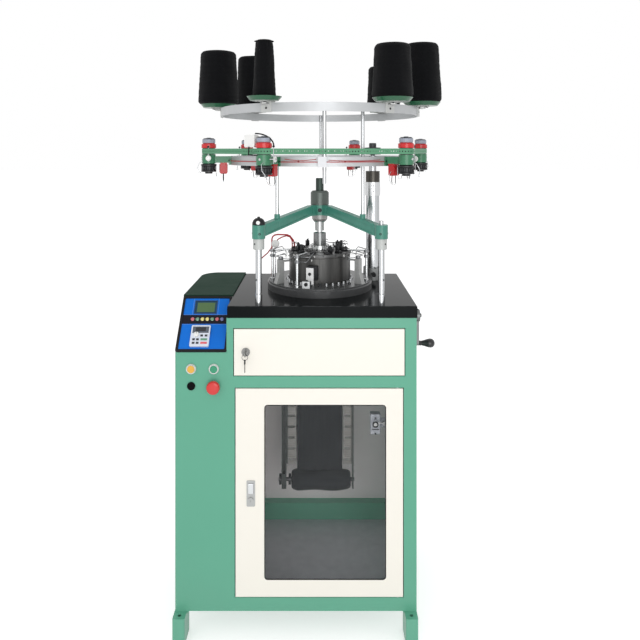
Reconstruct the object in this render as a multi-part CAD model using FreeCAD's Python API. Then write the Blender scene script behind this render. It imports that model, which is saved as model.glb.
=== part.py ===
"""Small circular knitting machine on a steel cabinet, in millimetres, +Z up, standing on z = 0.

The operator's side faces -Y.  Everything above the table is set out from the spindle axis.
"""
import FreeCAD, Part
import math
import os
from FreeCAD import Vector

os.makedirs("parts", exist_ok=True)

# ---------------------------------------------------------------- clearances
seat_gap = 0.3            # between curved faces on pieces that move apart
running_fit = 0.08        # radial clearance of a shaft in its bearing
seam = 2.5                # visible joint round the drawer and the door

# ---------------------------------------------------------------- cabinet
cabinet_left = -415.0
cabinet_width = 714.0
cabinet_front = -260.0
cabinet_depth = 468.0
sheet = 2.0
foot_height = 80.0
foot_width = 36.0
foot_length = 70.0
foot_reach = 32.0         # how far a foot stands out past the cabinet
foot_wall = 5.0
foot_corner_r = 4.0
foot_gusset_r = 12.0      # quarter-round gusset between a foot and the floor pan
foot_bolt_r = 5.5
table_top = 980.0
slab_thickness = 35.0
slab_overhang = 2.0
slab_edge = 1.5
well_gap = 10.0           # between the table's well and the needle cylinder's neck
column_width = 155.0
column_top = 984.0
column_cover_thickness = 6.0
column_front_corner_r = 8.0
column_back_corner_r = 60.0
frame_return = 18.0       # folded lip behind the drawer and door openings
rail_depth = 30.0
rail_height = 60.0

# ---------------------------------------------------------------- drawer and door
leaf_middle = 426.7       # from the cabinet's left side to the middle of both leaves
drawer_width = 503.0
drawer_height = 137.0
drawer_drop = 33.0        # from the slab's underside to the drawer's top edge
leaf_proud = 2.0
leaf_depth = 16.0
leaf_edge_r = 1.5
tray_wall = 1.5
tray_height = 92.0
tray_lift = 8.0
tray_side_gap = 10.0
tray_clearance = 8.0      # behind the tray, before the turning take-down frame
lock_from_edge = 35.0
lock_below_top = 67.0
lock_r = 11.0
lock_rim = 1.5
lock_rim_depth = 3.0
lock_cam_length = 26.0
lock_cam_width = 10.0
lock_cam_thickness = 3.0
key_length = 20.0
key_thickness = 2.0
key_width = 6.0
key_bow_r = 9.0
key_eye_r = 2.5
door_width = 494.0
door_height = 614.0
door_bottom = 122.5
window_left = 85.0
window_width = 359.0
window_bottom = 50.5
window_height = 516.0
window_corner_r = 10.0
glass_thickness = 4.0
glass_margin = 12.0
latch_left = 33.0
latch_bottom = 268.0
latch_width = 25.0
latch_height = 76.0
latch_plate_thickness = 2.0
latch_plate_corner_r = 3.0
latch_button_width = 16.0
latch_button_height = 30.0
latch_button_up = 0.7     # share of the plate's height
latch_button_proud = 5.5
latch_barrel_r = 8.0
latch_barrel_up = 0.25
latch_barrel_proud = 5.0
latch_key_slot = 8.0
pivot_from_edge = 16.0     # of the concealed pivots, from the door's right edge
pivot_from_face = 8.0
pivot_pin_r = 3.0
pivot_pin_length = 12.0   # inside the leaf
pivot_collar_r = 6.0
pivot_block_width = 26.0
pivot_block_height = 14.0
switch_from_side = 103.0  # from the cabinet's right side to the door switch
switch_width = 30.0
switch_height = 60.0
switch_depth = 24.0
switch_behind_front = 36.0
switch_below_window = 45.0
switch_plunger_r = 5.0
switch_plunger = 10.0
switch_bracket = 3.0
switch_bracket_height = 28.0

# ---------------------------------------------------------------- control panel
panel_length = 180.6      # along the slope
panel_slope = 48.4
panel_margin = 1.0
panel_border = 8.0
panel_frame_thickness = 5.0
panel_plate_thickness = 3.0
panel_corner_r = 6.0
# shares of the panel's width and length
display_left = 0.268
display_wide = 0.433
display_up = 0.681
display_tall = 0.225
lamp_up = 0.568
lamp_band_tall = 0.16
lamp_first = 0.253
lamp_pitch = 0.098
keypad_left = 0.269
keypad_wide = 0.371
keypad_up = 0.08
keypad_tall = 0.363
display_depth = 1.0
lamp_count = 7
lamp_r = 5.5
lamp_flange = 1.0
lamp_height = 4.0
lamp_film = 0.6
keypad_depth = 8.0
keypad_corner_r = 3.0
keypad_screen_depth = 1.5
key_height = 6.0
key_rise = 1.2
# shares of the keypad's own width and height
keypad_screen_wide = 0.86
keypad_screen_up = 0.627
keypad_screen_tall = 0.313
# middle across, middle up, width
keypad_keys = [
    (0.586, 0.497, 0.14),
    (0.82, 0.497, 0.14),
    (0.187, 0.315, 0.14),
    (0.392, 0.315, 0.14),
    (0.19, 0.15, 0.14),
    (0.4, 0.15, 0.14),
    (0.725, 0.315, 0.34),
    (0.735, 0.15, 0.34),
]
knob_across = 0.3
knob_up = 0.54
knob_r = 7.5
knob_height = 7.0
knob_stem_r = 2.5
knob_stem = 4.0
push_button_r = 11.0
button_travel_room = 12.0 # behind the sheet
button_proud = 2.0
button_edge = 1.2
bezel_r = 15.0
bezel_depth = 6.0
bezel_edge = 1.5
stop_bezel_depth = 4.0
stop_button_r = 19.5
stop_button_depth = 15.0
stop_button_front = 25.0  # how far its face stands out from the column
button_row_below = 48.0   # under the slope's foot
stop_row_below = 99.0
button_left_share = 0.316 # of the column's width
button_right_share = 0.748
plug_r = 12.0
plug_cap = 3.0
plug_stem = 6.0

# ---------------------------------------------------------------- knitting head, on the spindle axis
spindle_x = 14.0
spindle_y = 0.0
flange_r = 175.0
flange_thickness = 28.0
cylinder_neck_r = 60.0
cylinder_bore_r = 40.0
cylinder_r = 50.0
cylinder_shoulder_r = 70.0
cylinder_shoulder_height = 6.0
cylinder_top = 1107.0
needle_slots = 48
needle_slot_width = 2.2
needle_slot_depth = 4.0
cam_drum_r = 103.0
cam_drum_bore_r = 76.0
cam_drum_height = 95.0
cam_plate_thickness = 8.0
foot_screw_count = 32
foot_screw_r = 4.0
foot_screw_height = 5.0
foot_screw_circle_r = 109.0
dial_r = 47.0
dial_thickness = 6.0
dial_cap_r = 32.0
dial_cap_height = 7.0
dial_body_r = 21.5
dial_body_top = 1161.0
dial_shaft_r = 7.0
dial_nut_r = 13.5
dial_nut_height = 42.0
post_radius = 150.0       # the two guide posts' distance from the spindle axis
post_depth = 16.0
post_width = 20.0
post_gusset = 12.0        # how far a post's sloping foot stands out
post_gusset_height = 34.0
# angle from straight ahead, height
guide_posts = [(-58.0, 76.0), (56.0, 80.0)]
finger_r = 3.0
# angle from straight ahead, distance from the spindle axis
thin_rods = [(-80.0, 160.0), (-26.0, 163.0), (74.0, 160.0), (150.0, 150.0)]
thin_rod_r = 4.0
thin_rod_foot_r = 7.0
thin_rod_foot_height = 6.0
scale_angle = -15.0       # of the upright plate in front of the drum
scale_width = 24.0
scale_height = 56.0
scale_thickness = 6.0
scale_base_height = 7.0
scale_block = 18.0
scale_block_height = 22.0

# ---------------------------------------------------------------- bridge
leg_angle = 38.4          # from straight ahead to a front leg
leg_radius = 296.0
rear_leg_radius = 192.0
leg_r = 9.5
leg_foot_r = 10.5
leg_foot_height = 32.0
leg_groove_height = 3.0
bushing_r = 17.0
bushing_bottom = 1143.0
boss_r = 20.0
boss_bottom = 1175.0
boss_top = 1216.0
leg_bolt_r = 6.5
leg_bolt_height = 12.0
hub_r = 29.0
hub_bottom = 1222.0
hub_top = 1256.0
hub_bore_r = 20.0
hub_flat = 52.0           # level part of each arm beside the hub
arm_thickness = 22.0
arm_rib = 7.0
arm_pocket = 2.5
socket_r = 7.0
socket_depth = 14.0
housing_collar_r = 26.0
housing_collar_height = 22.0
housing_r = 31.0
housing_height = 47.0
rod_radius = 214.0        # the support rods' distance from the spindle axis
rod_r = 5.5
rod_boss_r = 9.0
rod_boss_top = 1241.0
# the two rods between the hoops: angle, angle of its clamp, start below the feeder hoop
hoop_rods = [(2.2, 1.0, 48.0), (179.0, 179.0, 10.0)]

# ---------------------------------------------------------------- drive and take-down under the table
gear_r = 158.0
gear_teeth = 60
gear_disc_bottom = 915.0
gear_disc_thickness = 15.0
gear_tooth_height = 7.0
gear_tooth_width = 5.5
gear_face = 12.0
pinion_teeth = 12
pinion_r = 33.0
pinion_root_r = 26.5
pinion_tooth_width = 6.0
crank_z = 881.0
crank_shaft_r = 8.0
crank_standoff = 40.0     # from the cabinet's side to the crank arm
crank_arm_thickness = 12.0
crank_arm_width = 16.0
crank_hub_r = 20.0
crank_radius = 94.0
crank_boss_r = 20.0
crank_boss_start = 47.0   # from the gear's rim to the boss's inner end
crank_boss_outside = 8.0
grip_length = 54.0
grip_pin_r = 5.0
frame_left = 128.0
frame_right = 114.0
frame_bar_width = 24.0
frame_channel = 15.0
frame_strip = 3.0
frame_bottom = 300.0
frame_foot = 50.0         # solid part at the foot of the channel
hanger_thickness = 12.0
slot_count = 14
slot_height = 8.0
roll_z = 327.0
roll_r = 34.5
roll_left = 96.0
roll_right = 105.0
roll_shaft_r = 6.0
star_r = 17.0
star_teeth = 12
star_thickness = 8.0
fabric_flat_width = 154.0
fabric_flat_thickness = 9.0
fabric_flat_from = 620.0

# ---------------------------------------------------------------- feeder level
hoop_r = 300.0
hoop_thickness = 6.0
hoop_bottom = 1392.0
hoop_height = 28.0
wire_thickness = 2.5
wire_up = 12.0
feeder_reach = 70.0       # from the hoop's outside to a feeder's axis
feeder_angles = [-25.5, 43.0, 105.0, 158.0, 228.0, 284.0]
feeder_body_r = 22.0
feeder_body_bottom = 1397.0
feeder_body_top = 1426.0
feeder_arm_width = 24.0
feeder_shaft_r = 6.0
spool_r = 25.0
spool_bottom = 1364.0
pulley_r = 20.0
belt_bottom = 1428.0
belt_height = 16.5
belt_thickness = 1.5
feeder_disc_r = 23.5
feeder_disc_height = 13.0
feeder_cap_r = 20.5
feeder_top = 1478.0
stop_lamp_height = 36.0
stop_lamp_width = 24.0
stop_lamp_length = 22.0
drive_column_x = 190.0    # from the spindle axis
drive_column_y = 118.0
drive_base_r = 34.0
drive_base_height = 42.0
drive_tube_r = 24.0
drive_sleeve_r = 27.5
drive_sleeve_bottom = 1278.0
drive_sleeve_top = 1326.0
drive_head_r = 25.5
drive_head_top = 1365.0
drive_neck_r = 13.0
drive_neck_top = 1420.0
drive_shaft_r = 8.0
drive_pulley_r = 24.0
drive_flange_r = 29.0
drive_cap_top = 1465.0

# ---------------------------------------------------------------- cone level
hoop_gap = 24.0           # from the feeder hoop's outside to the cone hoop's inside
cone_hoop_bottom = 1551.0
cone_hoop_height = 26.0
cone_outset = 12.0        # from the cone hoop's outside to a cone's axis
bracket_width = 34.0
bracket_height = 33.0
bracket_thickness = 3.0
shelf_inside = 20.0       # the holder's shelf, each way from the cone hoop's outside
shelf_outside = 34.0
dish_r = 60.0
dish_height = 12.0
dish_wall = 2.0
peg_r = 7.0
peg_height = 120.0
cone_edge_r = 9.0
# angle from straight ahead, foot radius, top radius, height
cones = [
    (-28.0, 37.0, 28.0, 172.0),
    (38.5, 64.0, 55.0, 157.0),
    (74.0, 66.0, 56.0, 188.0),
    (135.0, 65.0, 58.0, 160.0),
    (227.0, 65.0, 58.0, 195.0),
    (270.0, 71.0, 61.0, 177.0),
]

# ---------------------------------------------------------------- places worked out from the sizes
cabinet_right = cabinet_left + cabinet_width
cabinet_back = cabinet_front + cabinet_depth
column_right = cabinet_left + column_width
slab_bottom = table_top - slab_thickness
floor_top = foot_height + sheet
leaf_x = cabinet_left + leaf_middle
leaf_front = cabinet_front - leaf_proud
drawer_top = slab_bottom - drawer_drop
drawer_bottom = drawer_top - drawer_height
door_left = leaf_x - door_width / 2
door_right = leaf_x + door_width / 2
door_top = door_bottom + door_height
pivot = Vector(door_right - pivot_from_edge, leaf_front + pivot_from_face, 0)
slope_top = column_top - column_cover_thickness
slope_depth = panel_length * math.cos(math.radians(panel_slope))
column_front_height = slope_top - panel_length * math.sin(math.radians(panel_slope))
panel_width = column_width - 2 * panel_margin
flange_top = table_top + flange_thickness
shoulder_bottom = flange_top + seat_gap
takedown_reach = frame_left + star_thickness + 3.0
spindle = Vector(spindle_x, spindle_y, 0)
feeder_circle_r = hoop_r + feeder_reach
cone_hoop_r = hoop_r + hoop_gap + hoop_thickness
cone_circle_r = cone_hoop_r + cone_outset
leg_places = [(-leg_angle, leg_radius), (leg_angle, leg_radius), (180.0, rear_leg_radius)]


# ---------------------------------------------------------------- helpers
def box(x0, x1, y0, y1, z0, z1):
    """A block between two corners."""
    return Part.makeBox(x1 - x0, y1 - y0, z1 - z0, Vector(x0, y0, z0))


def post(centre, z0, z1, radius):
    """An upright cylinder."""
    return Part.makeCylinder(radius, z1 - z0, Vector(centre.x, centre.y, z0))


def bar(start, end, radius):
    """A round bar between two points."""
    run = end.sub(start)
    return Part.makeCylinder(radius, run.Length, start, run)


def turned(profile, centre=Vector(0, 0, 0), axis=Vector(0, 0, 1)):
    """A turned piece: profile is a closed list of (radius, distance along the axis)."""
    points = [Vector(r, 0, h) for r, h in profile]
    wire = Part.makePolygon(points + points[:1])
    solid = Part.Face(wire).revolve(Vector(0, 0, 0), Vector(0, 0, 1), 360)
    solid.Placement = FreeCAD.Placement(centre, FreeCAD.Rotation(Vector(0, 0, 1), axis))
    return solid


def polar(angle, radius, z=0.0):
    """A point by its angle from straight ahead, to the right, and its distance from the spindle axis."""
    a = math.radians(angle)
    return Vector(spindle_x + radius * math.sin(a), spindle_y - radius * math.cos(a), z)


def aimed(shape, angle):
    """Turn a shape drawn along +X from the origin to an angle about the spindle, and carry it there."""
    shape.Placement = FreeCAD.Placement(spindle, FreeCAD.Rotation(Vector(0, 0, 1), angle - 90))
    return shape


def rounded_plate(width, height, thickness, radius):
    """A plate with round corners, from the origin along +X, +Y and +Z."""
    plate = Part.makeBox(width, height, thickness)
    edges = [e for e in plate.Edges if abs(e.tangentAt(e.FirstParameter).z) > 0.9]
    return plate.makeFillet(radius, edges)


def upright_edges(shape, x=None, y=None, tolerance=0.01):
    """The upright edges of a shape that lie at a given x or y."""
    found = []
    for edge in shape.Edges:
        start, end = edge.Vertexes[0].Point, edge.Vertexes[-1].Point
        if abs(start.x - end.x) > tolerance or abs(start.y - end.y) > tolerance:
            continue
        if x is not None and abs(start.x - x) > tolerance:
            continue
        if y is not None and abs(start.y - y) > tolerance:
            continue
        found.append(edge)
    return found


def fuse(shapes):
    """Join shapes that belong to one piece."""
    whole = shapes[0].multiFuse(shapes[1:])
    return whole.removeSplitter()


def export(node, *shapes):
    """Write one sub-part, which may be several like solids."""
    shape = shapes[0] if len(shapes) == 1 else Part.makeCompound(list(shapes))
    shape.exportStep("parts/" + node + ".step")


# ---------------------------------------------------------------- cabinet
def base_frame():
    """The floor pan with a box-section foot under each corner, and its gussets."""
    floor = box(cabinet_left + sheet, cabinet_right - sheet, cabinet_front + sheet, cabinet_back - sheet,
                foot_height, floor_top)
    floor = floor.makeFillet(column_back_corner_r - sheet,
                             upright_edges(floor, x=cabinet_left + sheet, y=cabinet_back - sheet))
    floor = floor.makeFillet(column_front_corner_r - sheet,
                             upright_edges(floor, x=cabinet_left + sheet, y=cabinet_front + sheet))
    pieces = [floor]
    front_y = cabinet_front - foot_reach
    back_y = cabinet_back + foot_reach - foot_length
    for x, inner_x in ((cabinet_left, cabinet_left + foot_width),
                       (cabinet_right - foot_width, cabinet_right - foot_width - foot_gusset_r)):
        for y, bolt_y in ((front_y, cabinet_front - foot_reach / 2),
                          (back_y, cabinet_back + foot_reach / 2)):
            foot = box(x, x + foot_width, y, y + foot_length, 0, foot_height)
            foot = foot.makeFillet(foot_corner_r, upright_edges(foot))
            hollow = box(x + foot_wall, x + foot_width - foot_wall, y + foot_wall,
                         y + foot_length - foot_wall, 0, foot_height - foot_wall)
            bolt = post(Vector(x + foot_width / 2, bolt_y, 0), 0, foot_height + 1, foot_bolt_r)
            pieces.append(foot.cut(hollow).cut(bolt))
            start = max(y + foot_corner_r, cabinet_front + sheet)
            end = min(y + foot_length - foot_corner_r, cabinet_back - sheet)
            low = foot_height - foot_gusset_r
            gusset = box(inner_x, inner_x + foot_gusset_r, start, end, low, foot_height)
            round_x = inner_x + foot_gusset_r if inner_x > x else inner_x
            pieces.append(gusset.cut(across(round_x, low, start - 1, end + 1, foot_gusset_r)))
    export("base_frame", fuse(pieces))


def column_section(inset, top):
    """The side outline of the control column, drawn in from its walls by inset, up to a height."""
    low = foot_height
    back = cabinet_back - inset
    front = cabinet_front + inset
    rise = (slope_top - column_front_height) / slope_depth
    start = column_front_height + inset * rise
    slope_end = cabinet_front + slope_depth + (top - slope_top) / rise
    points = [Vector(0, front, low), Vector(0, front, start + (top - slope_top))]
    if top == slope_top:
        points.append(Vector(0, slope_end, top))
    else:
        points[-1].z = top
    points += [Vector(0, back, top), Vector(0, back, low)]
    return Part.Face(Part.makePolygon(points + points[:1]))


def column_housing():
    """The folded sheet shell of the control column, open to the divider, the slope and the top."""
    outer = column_section(0, slope_top).extrude(Vector(column_width - sheet, 0, 0))
    outer.translate(Vector(cabinet_left, 0, 0))
    outer = outer.makeFillet(column_back_corner_r, upright_edges(outer, x=cabinet_left, y=cabinet_back))
    outer = outer.makeFillet(column_front_corner_r, upright_edges(outer, x=cabinet_left, y=cabinet_front))
    inner = column_section(sheet, column_top).extrude(Vector(column_width, 0, 0))
    inner.translate(Vector(cabinet_left + sheet, 0, 0))
    inner = inner.makeFillet(column_back_corner_r - sheet,
                             upright_edges(inner, x=cabinet_left + sheet, y=cabinet_back - sheet))
    inner = inner.makeFillet(column_front_corner_r - sheet,
                             upright_edges(inner, x=cabinet_left + sheet, y=cabinet_front + sheet))
    shell = outer.cut(inner)
    for x, z in button_places():
        shell = shell.cut(across(x, z, cabinet_front - 1, cabinet_front + sheet + 1,
                                 push_button_r + seat_gap))
    export("column_housing", shell)


def button_places():
    """Centres of the four holes in the column's front: yellow, green, plug and stop."""
    left = cabinet_left + button_left_share * column_width
    right = cabinet_left + button_right_share * column_width
    row = column_front_height - button_row_below
    stop_row = column_front_height - stop_row_below
    return [(left, row), (right, row), (left, stop_row), (right, stop_row)]


def across(x, z, y0, y1, radius):
    """A round bar along Y."""
    return Part.makeCylinder(radius, y1 - y0, Vector(x, y0, z), Vector(0, 1, 0))


def opening_lip(x0, x1, z0, z1):
    """The folded lip that stands behind a rectangular opening."""
    outside = box(x0 - sheet, x1 + sheet, cabinet_front, cabinet_front + frame_return,
                  z0 - sheet, z1 + sheet)
    return outside.cut(box(x0, x1, cabinet_front, cabinet_front + frame_return, z0, z1))


def leaf_openings():
    """The drawer's and the door's openings in the front frame, as x0, x1, z0, z1."""
    half_drawer = drawer_width / 2 + seam
    half_door = door_width / 2 + seam
    return [
        (leaf_x - half_drawer, leaf_x + half_drawer, drawer_bottom - seam, drawer_top + seam),
        (leaf_x - half_door, leaf_x + half_door, door_bottom - seam, door_bottom + door_height + seam),
    ]


def cabinet_front_frame():
    """The front sheet with its two lipped openings."""
    plate = box(column_right - sheet, cabinet_right, cabinet_front, cabinet_front + sheet,
                foot_height, slab_bottom)
    lips = []
    for x0, x1, z0, z1 in leaf_openings():
        plate = plate.cut(box(x0, x1, cabinet_front - 1, cabinet_front + sheet + 1, z0, z1))
        lips.append(opening_lip(x0, x1, z0, z1))
    export("cabinet_front", fuse([plate] + lips))


def right_side_panel():
    """The right side sheet with the bearing boss of the crank shaft."""
    panel = box(cabinet_right - sheet, cabinet_right, cabinet_front + sheet, cabinet_back,
                foot_height, slab_bottom)
    centre = Vector(spindle_x + gear_r + crank_boss_start, spindle_y, crank_z)
    boss = bar(centre, Vector(cabinet_right + crank_boss_outside, spindle_y, crank_z), crank_boss_r)
    bore = bar(Vector(centre.x - 1, centre.y, centre.z),
               Vector(cabinet_right + crank_boss_outside + 1, spindle_y, crank_z),
               crank_shaft_r + running_fit)
    export("right_side_panel", fuse([panel, boss]).cut(bore))


def back_panel():
    """The back sheet of the main chamber with the box rail along its foot."""
    panel = box(column_right, cabinet_right - sheet, cabinet_back - sheet, cabinet_back,
                foot_height, slab_bottom)
    rail_front = cabinet_back - sheet - rail_depth
    rail = box(column_right, cabinet_right - sheet, rail_front, cabinet_back - sheet,
               floor_top, floor_top + rail_height)
    hollow = box(column_right, cabinet_right - sheet, rail_front + sheet, cabinet_back - sheet,
                 floor_top, floor_top + rail_height - sheet)
    export("back_panel", fuse([panel, rail.cut(hollow)]))


def inner_walls():
    """The divider beside the control column and the shelf that the drawer runs on."""
    divider = column_section(sheet, slope_top).extrude(Vector(sheet, 0, 0))
    divider.translate(Vector(column_right - sheet, 0, 0))
    below = box(cabinet_left, cabinet_right, cabinet_front, cabinet_back, 0, floor_top)
    shelf_top = drawer_bottom + tray_lift - seat_gap
    shelf = box(column_right, cabinet_right - sheet, cabinet_front + frame_return + sheet, tray_back(),
                shelf_top - sheet, shelf_top)
    export("inner_walls", fuse([divider.cut(below), shelf]))


def tray_back():
    """How far back the drawer tray may reach before the turning take-down frame."""
    return spindle_y - takedown_reach - tray_clearance


def column_top_cover():
    """The flat lid over the back of the control column."""
    lid = box(cabinet_left, column_right, cabinet_front + slope_depth, cabinet_back,
              slope_top, column_top)
    lid = lid.makeFillet(column_back_corner_r, upright_edges(lid, x=cabinet_left, y=cabinet_back))
    export("column_top_cover", lid)


def table_slab():
    """The table with the well that the needle cylinder's neck passes through."""
    slab = box(column_right, cabinet_right + slab_overhang, cabinet_front - slab_overhang,
               cabinet_back - slab_overhang, slab_bottom, table_top)
    edges = [e for e in slab.Edges if min(v.Z for v in e.Vertexes) > table_top - 1]
    slab = slab.makeChamfer(slab_edge, edges)
    well = post(spindle, slab_bottom - 1, table_top + 1, cylinder_neck_r + well_gap)
    export("table_slab", slab.cut(well))


# ---------------------------------------------------------------- drawer and door
def pan(x0, x1, z0, z1):
    """A folded leaf: a sheet with its four edges turned back."""
    outer = box(x0, x1, leaf_front, leaf_front + leaf_depth, z0, z1)
    front_edges = [e for e in outer.Edges if max(v.Y for v in e.Vertexes) < leaf_front + 0.1]
    outer = outer.makeFillet(leaf_edge_r, front_edges)
    return outer.cut(box(x0 + sheet, x1 - sheet, leaf_front + sheet, leaf_front + leaf_depth,
                         z0 + sheet, z1 - sheet))


def drawer_lock_place():
    """Where the drawer's lock sits, as x and z."""
    return leaf_x - drawer_width / 2 + lock_from_edge, drawer_top - lock_below_top


def drawer():
    """The drawer front, its shallow tray and its cam lock with the key in it."""
    front = pan(leaf_x - drawer_width / 2, leaf_x + drawer_width / 2, drawer_bottom, drawer_top)
    lock_x, lock_z = drawer_lock_place()
    hole = across(lock_x, lock_z, leaf_front - 1, leaf_front + sheet + 1, lock_r + running_fit)
    export("drawer_front", front.cut(hole))

    half = drawer_width / 2 - tray_side_gap
    low = drawer_bottom + tray_lift
    tray = box(leaf_x - half, leaf_x + half, leaf_front + sheet, tray_back(), low, low + tray_height)
    hollow = box(leaf_x - half + tray_wall, leaf_x + half - tray_wall,
                 leaf_front + sheet + tray_wall, tray_back() - tray_wall,
                 low + tray_wall, low + tray_height)
    tray_hole = across(lock_x, lock_z, leaf_front, leaf_front + leaf_depth, lock_r + running_fit)
    export("drawer_tray", tray.cut(hollow).cut(tray_hole))

    back = leaf_front + leaf_depth - sheet
    face = leaf_front - lock_rim_depth
    body = across(lock_x, lock_z, face + seat_gap, back, lock_r)
    rim = across(lock_x, lock_z, face, leaf_front - seat_gap, lock_r + lock_rim)
    cam = box(lock_x - lock_cam_width / 2, lock_x + lock_cam_width / 2, back - lock_cam_thickness, back,
              lock_z, lock_z + lock_cam_length)
    blade = box(lock_x - key_thickness / 2, lock_x + key_thickness / 2, face - key_length, face,
                lock_z - key_width / 2, lock_z + key_width / 2)
    bow_y = face - key_length + lock_rim_depth
    bow = Part.makeCylinder(key_bow_r, key_thickness, Vector(lock_x - key_thickness / 2, bow_y, lock_z),
                            Vector(1, 0, 0))
    eye = Part.makeCylinder(key_eye_r, 2 * key_thickness,
                            Vector(lock_x - key_thickness, bow_y - lock_rim_depth, lock_z), Vector(1, 0, 0))
    export("drawer_lock", fuse([body, rim, cam, blade, bow]).cut(eye))


def pivot_ends():
    """Each end of the door's pivot: the opening's edge, the leaf's edge and the way into the leaf."""
    return [(door_bottom - seam, door_bottom, 1), (door_top + seam, door_top, -1)]


def door():
    """The door leaf with its window, lock plate and latch button, on two concealed pivots."""
    leaf = pan(door_left, door_right, door_bottom, door_top)
    opening = rounded_plate(window_width, window_height, leaf_depth + 2, window_corner_r)
    opening.Placement = FreeCAD.Placement(
        Vector(door_left + window_left, leaf_front + leaf_depth + 1, door_bottom + window_bottom),
        FreeCAD.Rotation(Vector(1, 0, 0), 90))
    leaf = leaf.cut(opening)
    button_x = door_left + latch_left + latch_width / 2
    button_z = door_bottom + latch_bottom + latch_height * latch_button_up
    half_w = latch_button_width / 2
    half_h = latch_button_height / 2
    pocket = box(button_x - half_w - seat_gap, button_x + half_w + seat_gap, leaf_front - latch_button_proud,
                 leaf_front + 2 * sheet, button_z - half_h - seat_gap, button_z + half_h + seat_gap)
    leaf = leaf.cut(pocket)
    blocks, bores, fixed = [], [], []
    for lip_z, edge_z, way in pivot_ends():
        low, high = sorted([edge_z + way * sheet / 2, edge_z + way * (sheet + pivot_block_height)])
        blocks.append(box(pivot.x - pivot_block_width / 2, door_right - sheet / 2, leaf_front + sheet / 2,
                          leaf_front + leaf_depth - sheet, low, high))
        bores.append(post(pivot, low - sheet, high + sheet, pivot_pin_r + running_fit))
        low, high = sorted([lip_z, edge_z + way * pivot_pin_length])
        pin = post(pivot, low, high, pivot_pin_r)
        low, high = sorted([lip_z, edge_z - way * seat_gap])
        fixed.append(fuse([pin, post(pivot, low, high, pivot_collar_r)]))
    export("door_frame", fuse([leaf] + blocks).cut(Part.makeCompound(bores)))
    export("door_hinges", *fixed)

    glass = box(door_left + window_left - glass_margin, door_left + window_left + window_width + glass_margin,
                leaf_front + sheet, leaf_front + sheet + glass_thickness,
                door_bottom + window_bottom - glass_margin,
                door_bottom + window_bottom + window_height + glass_margin)
    export("door_window", glass)

    plate = rounded_plate(latch_width, latch_height, latch_plate_thickness, latch_plate_corner_r)
    plate.Placement = FreeCAD.Placement(
        Vector(door_left + latch_left, leaf_front, door_bottom + latch_bottom),
        FreeCAD.Rotation(Vector(1, 0, 0), 90))
    key_z = door_bottom + latch_bottom + latch_height * latch_barrel_up
    front = leaf_front - latch_barrel_proud
    barrel = across(button_x, key_z, front, leaf_front, latch_barrel_r)
    slot = box(button_x - key_thickness / 2, button_x + key_thickness / 2, front - 1, front + key_thickness,
               key_z - latch_key_slot / 2, key_z + latch_key_slot / 2)
    export("door_lock_plate", fuse([plate, barrel]).cut(slot).cut(pocket))

    front = leaf_front - latch_button_proud
    button = box(button_x - half_w, button_x + half_w, front, leaf_front + sheet + latch_plate_corner_r,
                 button_z - half_h, button_z + half_h)
    front_edges = [e for e in button.Edges if max(v.Y for v in e.Vertexes) < front + 0.1]
    export("latch_button", button.makeFillet(leaf_edge_r, front_edges))


def door_switch():
    """The safety switch behind the door's hinge side, on its bracket."""
    top = door_bottom + window_bottom + window_height - switch_below_window
    left = cabinet_right - switch_from_side - switch_width
    right = left + switch_width
    front = cabinet_front + switch_behind_front
    body = box(left, right, front, front + switch_depth, top - switch_height, top)
    body = body.makeChamfer(switch_bracket / 2, body.Edges)
    plunger = across((left + right) / 2, top - switch_height * 0.3, front - switch_plunger, front,
                     switch_plunger_r)
    low = top - switch_height * 0.5 - switch_bracket_height / 2
    middle = front + switch_depth / 2
    arm = box(right, cabinet_right - sheet, middle, middle + switch_bracket, low, low + switch_bracket_height)
    foot = box(cabinet_right - sheet - switch_bracket, cabinet_right - sheet, middle,
               middle + switch_depth + switch_plunger, low, low + switch_bracket_height)
    export("door_switch", fuse([body, plunger, arm, foot]))


# ---------------------------------------------------------------- control panel
def on_slope(shape):
    """Carry a shape drawn flat, x across and y up the slope, onto the control column's slope."""
    corner = Vector(cabinet_left + panel_margin, cabinet_front, column_front_height)
    shape.Placement = FreeCAD.Placement(corner, FreeCAD.Rotation(Vector(1, 0, 0), panel_slope))
    return shape


def control_panel():
    """The sloped panel: frame, plate with its display, and the lamps in their band."""
    frame = rounded_plate(panel_width, panel_length, panel_frame_thickness, panel_corner_r)
    inner_width, inner_length = panel_width - 2 * panel_border, panel_length - 2 * panel_border
    inner_r = panel_corner_r / 2
    window = rounded_plate(inner_width, inner_length, 2 * panel_frame_thickness, inner_r)
    window.translate(Vector(panel_border, panel_border, -panel_frame_thickness / 2))
    export("panel_frame", on_slope(frame.cut(window)))

    plate = rounded_plate(inner_width, inner_length, panel_plate_thickness, inner_r)
    plate.translate(Vector(panel_border, panel_border, 0))
    screen = Part.makeBox(display_wide * panel_width, display_tall * panel_length, panel_plate_thickness,
                          Vector(display_left * panel_width, display_up * panel_length,
                                 panel_plate_thickness - display_depth))
    band_height = lamp_band_tall * panel_length
    band = Part.makeBox(inner_width, band_height, lamp_film,
                        Vector(panel_border, lamp_up * panel_length - band_height / 2, panel_plate_thickness))
    plate = fuse([plate.cut(screen), band])
    lamps = []
    film_top = panel_plate_thickness + lamp_film
    stem_r = lamp_r - lamp_flange
    for index in range(lamp_count):
        centre = Vector((lamp_first + index * lamp_pitch) * panel_width, lamp_up * panel_length, 0)
        plate = plate.cut(post(centre, 0, film_top + 1, stem_r))
        lamp = turned([(0, 0), (stem_r, 0), (stem_r, film_top), (lamp_r, film_top),
                       (lamp_r, film_top + lamp_height * 0.6), (lamp_r * 0.6, film_top + lamp_height),
                       (0, film_top + lamp_height)], centre)
        lamps.append(on_slope(Part.makeCompound([lamp])))
    export("panel_plate", on_slope(plate))
    export("indicator_lamps", *lamps)


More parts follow.
